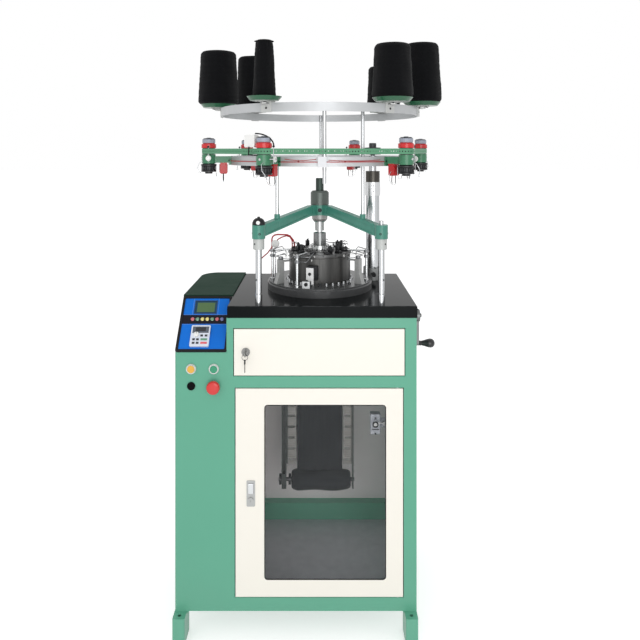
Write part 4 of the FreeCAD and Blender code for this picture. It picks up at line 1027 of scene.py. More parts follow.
# ---- control panel
@dataclass
class ControlPanel(Assembly):
    """The sloped panel with its lamps and keypad, and the push buttons under it."""

    lamp_first: float = 0.0387
    lamp_pitch: float = 0.015
    band: Pair = (0.0881, 0.117)
    display: tuple[float, float, float, float] = (0.041, 0.1073, 0.123, 0.1636)
    keypad: tuple[float, float, float, float] = (0.0412, 0.0979, 0.0144, 0.08)
    knob: Pair = (0.0582, 0.0498)
    plug: Pair = (-0.366, 0.744)

    def plate_layers(self, shader: Shader, skin: Skin) -> None:
        """Blue film with pale seams, a black lamp band and a green display.

        Args:
            shader: the material.
            skin: the values that it changes.
        """
        across, up, out = Slope.axes(shader)
        left, right, low, high = self.display
        band = up.between(*self.band)
        seams = (up.between(self.band[0] - 0.0016, self.band[0] - 0.0008)
                 + up.between(self.band[1] + 0.0008, self.band[1] + 0.0016)
                 + across.between(left - 0.0062, left - 0.0054) * up.above(self.band[1])
                 + across.between(right + 0.0054, right + 0.0062) * up.above(self.band[1])).least(1.0)
        screen = across.between(left, right) * up.between(low, high) * out.below(0.0026)
        lit = across.between(left + 0.0065, right - 0.0055) * up.between(low + 0.0045, high - 0.0045) * screen
        cells = (across * (math.tau / 0.0011)).sine() * (up * (math.tau / 0.0011)).sine()
        glass = shader.mix(cells * 0.1 + 0.1, tone(90, 118, 80), tone(66, 88, 58))
        skin.lay(seams * 0.55, tone(150, 178, 214))
        skin.lay(band, tone(22, 20, 30))
        skin.lay(screen, tone(38, 72, 92))
        skin.lay(lit, glass)
        skin.roughness = 0.34 - screen * 0.2

    def lamp_layers(self, shader: Shader, skin: Skin) -> None:
        """Each lamp's own colour.

        Args:
            shader: the material.
            skin: the values that it changes.
        """
        across, _, _ = Slope.axes(shader)
        for index, colour in enumerate(LAMP_COLOURS):
            middle = self.lamp_first + index * self.lamp_pitch
            mask = across.between(middle - self.lamp_pitch / 2, middle + self.lamp_pitch / 2)
            skin.lay(mask, tone(*colour))

    def keypad_layers(self, shader: Shader, skin: Skin) -> None:
        """Pale housing with a dark display, black keys, and a green and a red one.

        Args:
            shader: the material.
            skin: the values that it changes.
        """
        across, up, out = Slope.axes(shader)
        left, right, low, high = self.keypad
        keys = out.above(0.0113, 0.0002)
        wide = keys * across.above(0.072) * up.below(0.0392)
        screen = up.between(low + 0.0405, high - 0.0035) * out.below(0.0102)
        glass = (screen * across.between(left + 0.0125, right - 0.0135)
                 * up.between(low + 0.0475, high - 0.006))
        digits = (across * (math.tau / 0.0042)).sine().above(0.2, 0.2) * glass
        skin.lay(keys, tone(40, 42, 48))
        skin.lay(wide, tone(96, 152, 120))
        skin.lay(wide * up.below(0.0295), tone(222, 96, 104))
        skin.lay(screen, tone(84, 92, 104))
        skin.lay(glass, tone(26, 28, 32))
        skin.lay(digits * up.between(low + 0.0505, high - 0.0085), tone(44, 46, 52))
        skin.roughness = 0.45 - screen * 0.3

    def bezel_layers(self, shader: Shader, skin: Skin) -> None:
        """Pale rings, and the black blanking plug.

        Args:
            shader: the material.
            skin: the values that it changes.
        """
        x, _, z = shader.place()
        plug = shader.reach(x - self.plug[0], z - self.plug[1]).below(0.013)
        skin.lay(plug, tone(10, 10, 12))
        skin.metallic = 0.3 - plug * 0.3
        skin.roughness = 0.3 + plug * 0.5

    def details(self) -> None:
        """Screws, the display's bezel, and the knob's pointer and ribs."""
        bench = Bench()
        for across in (0.0045, Slope.width - 0.0045):
            for up in (0.005, Slope.length - 0.005):
                place = Slope.frame(across, up, 0.005)
                bench.screw(place.translation, place.to_3x3() @ UP, 0.0022, 0.001)
        bench.done("panel_screws", DARK)

        bench = Bench()
        left, right, low, high = self.display
        for x0, x1, y0, y1 in ((left - 0.002, right + 0.002, low - 0.002, low + 0.0005),
                               (left - 0.002, right + 0.002, high - 0.0005, high + 0.002),
                               (left - 0.002, left + 0.0005, low + 0.0005, high - 0.0005),
                               (right - 0.0005, right + 0.002, low + 0.0005, high - 0.0005)):
            bench.block(Vector((x0, y0, 0.0)), Vector((x1, y1, 0.0012)), Slope.frame(0, 0, 0.003), 0.0004)
        rim = Finish("bezel_blue", tone(34, 62, 96), roughness=0.35)
        bench.done("display_bezel", rim, "machine", "black_plastic")

        bench = Bench()
        across, up = self.knob
        bench.block(Vector((-0.0007, 0.001, 0.0)), Vector((0.0007, 0.007, 0.0006)),
                    Slope.frame(across, up, 0.018), 0.0002)
        bench.done("knob_pointer", BLACK, "speed_knob", "black_plastic")

        bench = Bench()
        for k in range(18):
            a = math.radians(20 * k)
            x, y = across + 0.0074 * math.cos(a), up + 0.0074 * math.sin(a)
            bench.rod([Slope.frame(x, y, out).translation for out in (0.0118, 0.0162)], 0.0006, 6)
        bench.done("knob_ribs", WHITE, "speed_knob", "frame_white")

    def buttons(self) -> None:
        """A steel ring round each of the two upper buttons."""
        bench = Bench()
        for x, z in ((-0.366, 0.795), (-0.299, 0.795)):
            bench.turn([(0.0113, -0.0005), (0.0124, -0.0005), (0.0128, 0.0002), (0.0124, 0.0009),
                        (0.0113, 0.0009)], Vector((x, -0.266, z)), FRONT, 40)
        bench.done("button_rings", BRIGHT, "machine", "bezel_grey")

    def build(self) -> None:
        """Finish the panel's nodes and add its small pieces."""
        plate = Masked("panel_film", tone(14, 112, 214), roughness=0.36, drift=0.03, specular=0.15,
                       layers=self.plate_layers)
        lamps = Masked("lamp_caps", tone(190, 40, 40), roughness=0.12, coat=0.6, drift=0.0,
                       layers=self.lamp_layers)
        keypad = Masked("keypad_case", tone(222, 228, 240), layers=self.keypad_layers)
        bezels = Masked("bezel_grey", tone(208, 212, 206), roughness=0.3, metallic=0.3, specular=0.1,
                        layers=self.bezel_layers)
        self.dress({
            plate: ["panel_plate"], lamps: ["indicator_lamps"], keypad: ["drive_keypad"],
            BLACK: ["panel_frame"], WHITE: ["keypad_knob"], bezels: ["button_bezels"],
            Finish("yellow_plastic", tone(232, 176, 60), roughness=0.25, coat=0.4): ["yellow_button"],
            Finish("button_green", tone(22, 146, 104), roughness=0.25, coat=0.4): ["green_button"],
            Finish("stop_red", tone(214, 44, 40), roughness=0.3, coat=0.3): ["stop_button"],
        })
        self.details()
        self.buttons()


# ---- knitting head
@dataclass
class KnittingHead(Assembly):
    """The flange, the cam drum, the needle cylinder, the dial, and the yarn guides round them."""

    flange_top: float = 1.008
    drum_radius: float = 0.103
    drum_top: float = 1.103
    cylinder_top: float = 1.107
    needle_count: int = 48
    needle_circle: float = 0.0484
    post_places: tuple[tuple[float, float, float], ...] = (
        (-80.0, 0.16, 1.111), (-26.0, 0.163, 1.111), (74.0, 0.16, 1.111), (150.0, 0.15, 1.111))
    guide_places: tuple[tuple[float, float, float], ...] = ((-58.0, 0.15, 1.084), (56.0, 0.15, 1.088))
    plate_angle: float = -15.0
    plate_radius: float = 0.119
    dial_body: Pair = (1.1205, 1.1615)
    dial_nut: float = 1.301
    stem_place: Pair = (-0.1377, 0.026)

    def drum_layers(self, shader: Shader, skin: Skin) -> None:
        """Seams between the cam segments, and steel lighter in random upright streaks.

        Args:
            shader: the material.
            skin: the values that it changes.
        """
        x, y, z = shader.place()
        turn = shader.maths("ARCTAN2", y - SPINDLE.y, x - SPINDLE.x)
        seam = abs((turn * (8.0 / math.tau)).part() - 0.5).above(0.4955, 0.002)
        seam = seam * z.below(self.drum_top - 0.014)
        # lighter in random upright streaks
        streaks = shader.noise(55.0, 4.0, (1.0, 1.0, 0.08)).above(0.52, 0.3)
        skin.lay(streaks * 0.55, tone(104, 103, 101))
        skin.lay(seam * 0.85, tone(18, 18, 19))
        rim = z.between(self.drum_top - 0.0085, self.drum_top + 0.001)
        skin.lay(rim * 0.5, tone(96, 97, 98))

    def post_layers(self, shader: Shader, skin: Skin) -> None:
        """Grey castings for the thick posts and bright steel for the thin ones.

        Args:
            shader: the material.
            skin: the values that it changes.
        """
        x, y, _ = shader.place()
        thick: Wire | float = 0.0
        for angle, radius, _ in self.guide_places:
            centre = polar(angle, radius)
            thick = shader.reach(x - centre.x, y - centre.y).below(0.026) + thick
        centre = polar(self.plate_angle, self.plate_radius + 0.005)
        plate = shader.reach(x - centre.x, y - centre.y).below(0.016)
        skin.metallic = 1.0 - plate * 0.85 - thick.least(1.0) * 0.5
        skin.lay(thick, tone(164, 165, 164))
        skin.lay(plate, tone(236, 236, 236))
        skin.roughness = 0.2 + (thick + plate).least(1.0) * 0.25

    def dial_layers(self, shader: Shader, skin: Skin) -> None:
        """A pale disc, a darker chromed body and a dark nut on top, with painted reflection bands above the
        disc.

        Args:
            shader: the material.
            skin: the values that it changes.
        """
        _, _, z = shader.place()
        body = z.between(*self.dial_body)
        nut = z.above(self.dial_nut)
        # painted reflection: dark upright bands above the disc, from the way each face turns
        skin.lay(z.above(self.dial_body[0]) * shader.bars() * 0.7, tone(58, 59, 60))
        skin.lay(body * 0.8, tone(92, 94, 94))
        skin.lay(nut, tone(62, 72, 68))
        skin.roughness = 0.16 + nut * 0.25

    def needles(self) -> None:
        """One latch needle in each slot of the cylinder, its hook turned outward."""
        bench = Bench()
        for k in range(self.needle_count):
            angle = 360.0 * k / self.needle_count
            points = [polar(angle, self.needle_circle, 1.024)]
            points.append(polar(angle, self.needle_circle, self.cylinder_top + 0.0035))
            for step in range(1, 6):
                a = math.radians(36.0 * step)
                points.append(polar(angle, self.needle_circle + 0.0009 * (1.0 - math.cos(a)),
                                    self.cylinder_top + 0.0035 + 0.0009 * math.sin(a)))
            bench.rod(points, 0.00045, 6)
        bench.done("latch_needles", BRIGHT, "cylinder", "screw_steel")

    def cams(self) -> None:
        """The cam boxes and levers on top of the drum, its bolts, and the block behind the white plate."""
        blocks, levers, bolts = Bench(), Bench(), Bench()
        for k in range(12):
            angle = 15.0 + 30.0 * k
            blocks.block(Vector((-0.01, -0.0075, 0.0)), Vector((0.011, 0.0075, 0.0055)),
                         upright(polar(angle, 0.086, self.drum_top), angle), 0.0008)
            bolts.screw(polar(angle, 0.092, self.drum_top + 0.0054), UP, 0.0031, 0.0028)
            bolts.screw(polar(angle, 0.0815, self.drum_top + 0.0054), UP, 0.0024, 0.0022)
        for angle, tall in ((-100.0, 0.019), (-75.0, 0.022), (-52.0, 0.018), (28.0, 0.02), (52.0, 0.024),
                            (76.0, 0.022), (100.0, 0.026), (124.0, 0.022), (170.0, 0.02), (215.0, 0.023)):
            frame_at = upright(polar(angle, 0.074, self.drum_top), angle)
            levers.block(Vector((-0.0045, -0.0055, 0.0)), Vector((0.0045, 0.0055, tall)), frame_at, 0.0008)
            levers.bent(frame_at, ((0.0, 0.0, tall - 0.006), (-0.008, 0.002, tall - 0.004),
                                   (-0.0155, 0.004, 0.016), (-0.018, 0.004, 0.0125)), 0.0013)
            levers.bent(frame_at, ((0.0, -0.004, tall - 0.002), (0.01, -0.01, tall + 0.004),
                                   (0.019, -0.014, tall - 0.001)), 0.0011)
            levers.turn([(0.0, 0.0), (0.0028, 0.0006), (0.0032, 0.003), (0.0024, 0.005), (0.0, 0.0056)],
                        frame_at @ Vector((0.0, 0.0, tall - 0.0005)), UP, 14)
        blocks.done("cam_boxes", DARK, "machine", "blued_steel")
        levers.done("stripper_levers", DARK, "machine", "blued_steel")
        for k in range(16):
            angle = 22.5 * k + 6.0
            seat = polar(angle, self.drum_radius + 0.0028, self.drum_top - 0.0045)
            bolts.screw(seat, outward(angle), 0.0023, 0.0014)
        for k in range(8):
            angle = 45.0 * k
            bolts.screw(polar(angle, 0.134, self.flange_top), UP, 0.0055, 0.0045)
        bolts.done("head_bolts", BLUED)
        sides = Bench()
        place = upright(polar(self.plate_angle, 0.0, self.flange_top), self.plate_angle)
        sides.block(Vector((0.1045, -0.0105, 0.016)), Vector((0.1182, 0.0235, 0.0605)), place, 0.001)
        sides.done("cam_adjuster_body", DARK, "machine", "blued_steel")
        out = outward(self.plate_angle)
        bench = Bench()
        bench.screw(polar(self.plate_angle, 0.168, self.flange_top + 0.013), out, 0.0058, 0.0032)
        bench.screw(polar(self.plate_angle, 0.159, self.flange_top + 0.022), UP, 0.004, 0.003)
        bench.screw(polar(self.plate_angle, 0.125, self.flange_top + 0.037), out, 0.005, 0.003)
        bench.done("adjuster_screws", DARK)

    def guides(self) -> None:
        """Collars, crossing arms and bent yarn fingers with their white eyelets on the posts."""
        steel, eyes, collars = Bench(), Bench(), Bench()
        for angle, radius, top in self.post_places:
            foot = polar(angle, radius, top)
            for height in (-0.006, -0.022):
                collars.turn([(0.0042, -0.0045), (0.0072, -0.0045), (0.0078, -0.0038), (0.0078, 0.0038),
                              (0.0072, 0.0045), (0.0042, 0.0045)], foot + UP * height, UP, 24)
            side, out = aside(angle), outward(angle)
            for sign, height, reach in ((1.0, -0.006, 0.04), (-1.0, -0.006, 0.034), (1.0, -0.022, 0.03)):
                start = foot + UP * height
                bend = start + side * (sign * reach)
                tip = bend - out * 0.036 + UP * (0.006 - height * 0.2)
                steel.rod([start, start + side * (sign * reach * 0.8), bend - out * 0.006, tip,
                           tip - out * 0.006 - UP * 0.008], 0.0015, 8)
                self.eyelet(eyes, tip - out * 0.006 - UP * 0.0105, side)
                collars.screw(start + out * 0.0074, out, 0.0022, 0.0022)
        for angle, radius, top in self.guide_places:
            cap = polar(angle, radius, top)
            side, out = aside(angle), outward(angle)
            collars.turn([(0.0, -0.0005), (0.0075, -0.0005), (0.008, 0.0005), (0.008, 0.0085),
                          (0.0068, 0.0095), (0.0, 0.0095)], cap, UP, 28)
            for sign in (1.0, -1.0):
                start = cap + UP * 0.007
                steel.rod([start, start + side * (sign * 0.03), start + side * (sign * 0.038) - out * 0.012,
                           start + side * (sign * 0.028) - out * 0.034 + UP * 0.003], 0.0014, 8)
                self.eyelet(eyes, start + side * (sign * 0.028) - out * 0.0365 + UP * 0.0025, side)
        wire = TurnedSteel("finger_steel", tone(136, 137, 139), roughness=0.3)
        steel.done("yarn_fingers", wire)
        collars.done("post_collars", wire)
        eyes.done("yarn_eyelets", WHITE, "machine", "frame_white")

    def oiling(self) -> None:
        """The two red oil pipes over the drum's left side, and the round white tell-tale on its stem."""
        top = self.drum_top
        routes = (
            ((-0.15, 0.03, self.flange_top), (-0.15, 0.03, 1.134), (-0.148, 0.03, 1.142),
             (-0.141, 0.03, 1.148), (-0.13, 0.03, 1.15), (-0.098, 0.03, 1.149), (-0.088, 0.03, 1.145),
             (-0.077, 0.03, 1.131), (-0.073, 0.03, 1.12), (-0.072, 0.03, top)),
            ((-0.201, 0.06, 0.98), (-0.201, 0.06, 1.04), (-0.198, 0.058, 1.052), (-0.188, 0.053, 1.064),
             (-0.165, 0.045, 1.085), (-0.139, 0.034, 1.122), (-0.129, 0.034, 1.133), (-0.117, 0.034, 1.14),
             (-0.101, 0.034, 1.145), (-0.088, 0.034, 1.141), (-0.081, 0.034, 1.128), (-0.08, 0.034, top)))
        bench = Bench()
        for route, radius in zip(routes, (0.0026, 0.0021)):
            bench.rod([Vector(point) for point in route], radius, 10)
        bench.done("oil_pipes", WIRE_RED, "machine", "wire_red")
        bench = Bench()
        for route in routes:
            bench.turn([(0.0017, 0.0), (0.0042, 0.0), (0.0046, 0.0006), (0.0046, 0.0042), (0.0036, 0.005),
                        (0.0017, 0.005)], Vector(route[-1]), UP, 6)
        bench.turn([(0.0, 0.0), (0.006, 0.0), (0.006, 0.004), (0.0022, 0.0052), (0.0022, 0.1),
                    (0.0, 0.1)], Vector((*self.stem_place, self.flange_top)), UP, 20)
        bench.done("oil_unions", BRIGHT)
        bench = Bench()
        bench.turn([(0.0, -0.003), (0.0125, -0.003), (0.0135, -0.002), (0.0135, 0.002), (0.0125, 0.003),
                    (0.0, 0.003)], Vector((*self.stem_place, 1.119)), FRONT, 36)
        bench.done("oil_tell_tale", WHITE, "machine", "frame_white")

    def eyelet(self, bench: Bench, centre: Vector, axis: Vector) -> None:
        """Add a ceramic eyelet."""
        swing = axis.to_track_quat("Z", "Y")
        bench.loop(centre, swing @ RIGHT, swing @ -FRONT, 0.0028, 0.001, 14, 6)

    def build(self) -> None:
        """Finish the head's nodes and add its fine pieces."""
        drum = Masked("drum_steel", tone(67, 67, 66), roughness=0.36, metallic=0.7, layers=self.drum_layers)
        posts = Masked("post_mixed", tone(206, 208, 209), roughness=0.2, metallic=1.0,
                       layers=self.post_layers)
        dial = Masked("dial_steel", tone(205, 207, 207), roughness=0.18, metallic=0.95,
                      layers=self.dial_layers)
        self.dress({FLANGE: ["base_flange"], drum: ["cam_drum"], BRIGHT: ["foot_screws"],
                    SATIN: ["needle_cylinder"], dial: ["needle_dial"], posts: ["yarn_posts"]})
        self.needles()
        self.cams()
        self.guides()
        self.oiling()


# ---- bridge
@dataclass
class Bridge(Assembly):
    """The cast tripod with its columns, and the rods that rise from it."""

    leg_angle: float = 38.4
    leg_radius: float = 0.296
    rear_radius: float = 0.192
    boss_radius: float = 0.02
    boss_top: float = 1.216
    clamp_height: float = 1.1905
    bushing_height: float = 1.16
    foot_groove: float = 1.052
    hub_middle: float = 1.239
    rod_place: Pair = (0.214, 1.234)
    collar_top: float = 1.2225

    def legs(self) -> tuple[Pair, ...]:
        """The angle and the radius of each column."""
        front = ((sign * self.leg_angle, self.leg_radius) for sign in (-1.0, 1.0))
        return (*front, (180.0, self.rear_radius))

    def housing_layers(self, shader: Shader, skin: Skin) -> None:
        """A satin collar under the hub and dark metal above it.

        Args:
            shader: the material.
            skin: the values that it changes.
        """
        _, _, z = shader.place()
        low = z.below(self.collar_top)
        skin.lay(low, tone(150, 150, 148))
        skin.roughness = 0.34 + low * 0.08

    def cap(self) -> None:
        """The domed dust cap on the left column, with a bolt through its side."""
        angle, radius = self.legs()[0]
        top = polar(angle, radius, self.boss_top)
        bench = Bench()
        bench.turn([(0.019, 0.0003), (0.0196, 0.002), (0.0188, 0.008), (0.0155, 0.0148), (0.0105, 0.019),
                    (0.0042, 0.0208), (0.0042, 0.0232), (0.003, 0.0244), (0.0, 0.0247)], top, UP, 44)
        bench.done("column_dust_cap", DARK, "machine", "black_plastic")
        bench = Bench()
        bench.screw(top + Vector((0.0, -0.0168, 0.0075)), Vector((0.0, -1.0, 0.18)), 0.0058, 0.0048, False)
        bench.done("dust_cap_bolt", PALE_STEEL)

    def set_screws(self) -> None:
        """The clamping screws in the bosses, and the screws of the hub and the columns' feet."""
        bench = Bench()
        for angle, radius in self.legs():
            centre = polar(angle, radius)
            for turn in (angle - 52.0, angle + 52.0):
                bench.screw(centre + outward(turn) * (self.boss_radius - 0.0006) + UP * self.clamp_height,
                            outward(turn), 0.0035, 0.0011)
            out = outward(angle)
            bench.screw(centre + out * 0.0089 + UP * self.foot_groove, out, 0.003, 0.0012)
            bench.screw(centre + out * 0.017 + UP * self.bushing_height, out, 0.0026, 0.0008)
        bench.screw(polar(0.0, 0.0235, self.hub_middle), outward(0.0), 0.0066, 0.0012)
        for turn in (60.0, 120.0, 240.0, 300.0):
            bench.screw(polar(turn, 0.0282, self.hub_middle), outward(turn), 0.0038, 0.0016)
        for sign in (-1.0, 1.0):
            angle = sign * self.leg_angle
            bench.screw(polar(angle, *self.rod_place) + aside(angle) * (sign * 0.0086), aside(angle) * sign,
                        0.0026, 0.0012)
        bench.done("clamp_screws", DARK)

    def build(self) -> None:
        """Finish the bridge's nodes and add its screws and cap."""
        housing = Masked("housing_steel", tone(86, 93, 89), roughness=0.34, metallic=0.5,
                         layers=self.housing_layers)
        bushing = Finish("bushing_grey", tone(190, 193, 191), roughness=0.5, metallic=0.2)
        column = GroundBar("column_chromed", tone(206, 208, 210), roughness=0.2)
        self.dress({BRIDGE: ["bridge_casting"], column: ["bridge_columns"], bushing: ["column_bushings"],
                    housing: ["hub_housing"]})
        self.cap()
        self.set_screws()


# ---- drive and take-down
@dataclass
class TakeDown(Assembly):
    """The crank, the gearing under the table, the frame that turns there, and the cloth that it winds."""

    roll_height: float = 0.327
    roll_radius: float = 0.0345
    roll_from: float = -0.096
    roll_to: float = 0.105
    tube_radius: float = 0.0382
    flat_half: float = 0.076
    flat_thick: float = 0.0034
    neck_low: float = 0.62
    neck_high: float = 0.893
    tube_top: float = 1.1025
    comb: Pair = (0.07, 0.1078)
    comb_top: float = 0.62
    comb_pitch: float = 0.0062
    crank_place: Point = (0.354, 0.0, 0.881)
    rows: int = 120
    steps: int = 96

    def tube_point(self, turn: float, height: float) -> Vector:
        """A point of the knitted tube.

        Args:
            turn: the place round the tube, in radians.
            height: the height over the floor.

        Returns:
            The point, with the folds that the pull of the roll leaves.
        """
        share = min(1.0, max(0.0, (height - self.neck_low) / (self.neck_high - self.neck_low)))
        round_share = share * share * (3.0 - 2.0 * share)
        wide = self.flat_half + (self.tube_radius - self.flat_half) * round_share
        deep = self.flat_thick + (self.tube_radius - self.flat_thick) * round_share
        x, y = wide * math.cos(turn), deep * math.sin(turn)
        pull = noise.noise(Vector((x * 22.0, math.copysign(1.0, y) * 3.0, height * 3.2)))
        flat_share = 1.0 - round_share
        crease = math.sin(x * 190.0 + 2.4 * math.sin(height * 9.0)) * flat_share * math.sin(turn) ** 2
        shift = (pull * 0.0036 + crease * 0.0011) * (1.0 - round_share * 0.75)
        ragged = noise.noise(Vector((math.copysign(1.0, x) * 5.0, 0.0, height * 14.0)))
        edge = 1.0 + 0.012 * ragged * flat_share
        return SPINDLE + Vector((x * edge, y + shift, height))

    def tube(self) -> None:
        """The knitted tube, open at both ends, from the needles down to the roll."""
        bench = Bench()
        low = self.roll_height + self.roll_radius * 0.86
        rows = []
        for k in range(self.rows + 1):
            height = low + (self.tube_top - low) * k / self.rows
            rows.append(bench.ring(self.tube_point(math.tau * j / self.steps, height)
                                    for j in range(self.steps)))
        for one, two in zip(rows, rows[1:]):
            bench.bridge(one, two)
        piece = bench.done("knitted_tube", KNIT, "cylinder", "knit_black", ["fabric_tube"], 80.0)

    def roll(self) -> None:
        """The wound cloth, slightly uneven, with the turns showing at its ends."""
        centre = SPINDLE + UP * self.roll_height
        bench = Bench(centre)
        profile: list[Pair] = []
        length = self.roll_to - self.roll_from
        turns = 9
        for k in range(turns):
            radius = 0.0075 + (self.roll_radius - 0.011) * k / turns
            profile += [(radius, 0.0035 - 0.0003 * k), (radius + 0.0017, 0.0014 + 0.0006 * (k % 3))]
        side = [(self.roll_radius - inset, along)
                for inset, along in ((0.004, 0.002), (0.0012, 0.007), (0.0003, 0.014))]
        count = 24
        profile += side
        profile += [(self.roll_radius - 0.0004, 0.014 + (length - 0.028) * k / count)
                    for k in range(1, count)]
        profile += [(radius, length - along) for radius, along in reversed(side)]
        for k in reversed(range(turns)):
            radius = 0.0075 + (self.roll_radius - 0.011) * k / turns
            profile += [(radius + 0.0017, length - 0.0014 - 0.0006 * (k % 3)),
                        (radius, length - 0.0035 + 0.0003 * k)]

        def uneven(turn: float, along: float) -> float:
            """How far the roll is from round.

            Args:
                turn: the place round it, in radians.
                along: the distance along its axis.

            Returns:
                What its radius grows by.
            """
            lump = noise.noise(Vector((math.cos(turn) * 1.6, math.sin(turn) * 1.6, along * 18.0)))
            slipped = max(0.0, (along - 0.16) / 0.041) ** 1.5 * 0.0065 + max(0.0, 0.022 - along) * 0.22
            return lump * 0.0026 - 0.0016 - slipped * (0.7 + 0.3 * math.sin(turn * 2.0))

        bench.turn(profile, centre + RIGHT * self.roll_from, RIGHT, 72, uneven)
        bench.done("cloth_roll", KNIT, "takedown_roll", "knit_black", ["fabric_roll"], 60.0)

    def frame_layers(self, shader: Shader, skin: Skin) -> None:
        """Pale combed plates beside the cloth, between dark bars.

        Args:
            shader: the material.
            skin: the values that it changes.
        """
        x, _, z = shader.place()
        combed = abs(x - SPINDLE.x).between(*self.comb) * z.below(self.comb_top)
        lines = (z / self.comb_pitch).part().below(0.38, 0.12)
        skin.lay(combed, shader.mix(lines * 0.6, tone(150, 147, 143), tone(92, 92, 90)))

    def fittings(self) -> None:
        """The bolts of the turning frame, and the screws that hold the crank."""
        bench = Bench()
        for x in (-0.1283, 0.1143):
            out = Vector((math.copysign(1.0, x), 0.0, 0.0))
            place = SPINDLE + Vector((x, 0.0, self.roll_height))
            for y in (-0.0075, 0.0075):
                for z in (0.03, 0.052):
                    bench.screw(place + Vector((0.0, y, z)), out, 0.0026, 0.0022)
        for x in (-0.119, 0.1095):
            for y in (-0.007, 0.007):
                bench.screw(SPINDLE + Vector((x, y, 0.903)), -UP, 0.0035, 0.003)
        bench.done("takedown_bolts", SATIN, "cylinder", "screw_steel")
        bench = Bench()
        bench.screw(Vector(self.crank_place), RIGHT, 0.0062, 0.0035)
        bench.screw(Vector((0.345, 0.0, 0.9008)), UP, 0.0028, 0.0022)
        bench.done("crank_screws", DARK, "crank", "screw_steel")

    def build(self) -> None:
        """Finish the drive's nodes and make the cloth."""
        crank = TurnedSteel("crank_steel", tone(120, 122, 122), roughness=0.34, metallic=0.85)
        frame_paint = Masked("takedown_grey", tone(74, 79, 78), roughness=0.45, metallic=0.3, drift=0.2,
                             drift_scale=18.0, layers=self.frame_layers)
        grip = Finish("grip_black", tone(24, 24, 26), roughness=0.3, coat=0.2, grain=0.00003)
        self.dress({crank: ["crank_handle"], grip: ["crank_grip"], BLUED: ["cylinder_gear", "takedown_gears"],
                    frame_paint: ["takedown_frame"]})
        self.tube()
        self.roll()
        self.fittings()


# ---- feeder level
class Turn(Enum):
    """Which way the belt runs round a pulley, seen from above."""

    INSIDE = 1
    OUTSIDE = -1


@dataclass
class Belt:
    """The punched belt round the six feeders, with the drive pulley against its outer face."""

    stops: Sequence[tuple[Vector, float, Turn]]
    low: float = 1.4281
    height: float = 0.0163
    half_thick: float = 0.00075
    pitch: float = 0.0087
    hole: float = 0.0021

    def runs(self) -> list[tuple[float, Callable[[float], tuple[Vector, Vector]]]]:
        """The belt's path, piece by piece.

        Returns:
            For each piece its length, and what gives the point and the outward normal at a distance along it.
        """
        leaving, arriving = [], []
        count = len(self.stops)
        for index, (centre, radius, turn) in enumerate(self.stops):
            after, radius_after, turn_after = self.stops[(index + 1) % count]
            run = after - centre
            tilt = math.asin((turn_after.value * radius_after - turn.value * radius) / run.length)
            normal_angle = math.atan2(run.y, run.x) + math.pi / 2.0 - tilt
            normal = Vector((math.cos(normal_angle), math.sin(normal_angle), 0.0))
            leaving.append(centre - normal * (turn.value * radius))
            arriving.append(after - normal * (turn_after.value * radius_after))
        pieces = []
        for index, (centre, radius, turn) in enumerate(self.stops):
            begin, end, following = arriving[index - 1], leaving[index], arriving[index]
            first = math.atan2(begin.y - centre.y, begin.x - centre.x)
            last = math.atan2(end.y - centre.y, end.x - centre.x)
            sweep = ((last - first) * turn.value) % math.tau

            def bend(distance: float, centre: Vector = centre, radius: float = radius, turn: Turn = turn,
                     first: float = first) -> tuple[Vector, Vector]:
                """A point on the run round this pulley.

                Args:
                    distance: how far along the run.
                    centre: the pulley's middle.
                    radius: the belt's radius round it.
                    turn: which way the belt goes round.
                    first: the angle where the run starts.

                Returns:
                    The point and the outward normal there.
                """
                angle = first + turn.value * distance / radius
                out = Vector((math.cos(angle), math.sin(angle), 0.0))
                return centre + out * radius, out * turn.value

            def straight(distance: float, end: Vector = end,
                         following: Vector = following) -> tuple[Vector, Vector]:
                """A point on the straight run after this pulley."""
                along = (following - end).normalized()
                return end + along * distance, Vector((along.y, -along.x, 0.0))

            pieces.append((radius * sweep, bend))
            pieces.append(((following - end).length, straight))
        return pieces

    def mesh(self) -> Bench:
        """The belt's faces, with a row of round holes.

        Returns:
            The bench that holds them.
        """
        pieces = self.runs()
        total = sum(length for length, _ in pieces)

        def at(distance: float) -> tuple[Vector, Vector]:
            """The point and the normal at a distance along the whole belt.

            Args:
                distance: how far along, from the first pulley on.

            Returns:
                The two.
            """
            left = distance % total
            for length, place in pieces:
                if left <= length:
                    return place(left)
                left -= length
            return pieces[-1][1](pieces[-1][0])

        cells = round(total / self.pitch)
        step = total / cells
        bench = Bench()
        middle = self.low + self.height / 2.0
        half = self.height / 2.0
        corners = ((1, 0), (1, 1), (0, 1), (-1, 1), (-1, 0), (-1, -1), (0, -1), (1, -1))
        for cell in range(cells):
            start = (cell + 0.5) * step
            layers = []
            for side in (-1.0, 1.0):
                outer, inner = [], []
                for k, (across, up) in enumerate(corners):
                    point, out = at(start + across * step / 2.0)
                    outer.append(point + out * (side * self.half_thick) + UP * (middle + up * half))
                    angle = math.radians(45.0 * k)
                    point, out = at(start + self.hole * math.cos(angle))
                    rise = middle + self.hole * math.sin(angle)
                    inner.append(point + out * (side * self.half_thick) + UP * rise)
                layers.append((bench.ring(outer), bench.ring(inner)))
            for outer, inner in layers:
                bench.bridge(outer, inner)
            bench.bridge(layers[0][1], layers[1][1])
            for first, second in ((1, 2), (2, 3), (5, 6), (6, 7)):
                bench.mesh.faces.new([layers[0][0][first], layers[0][0][second], layers[1][0][second],
                                      layers[1][0][first]])
        return bench


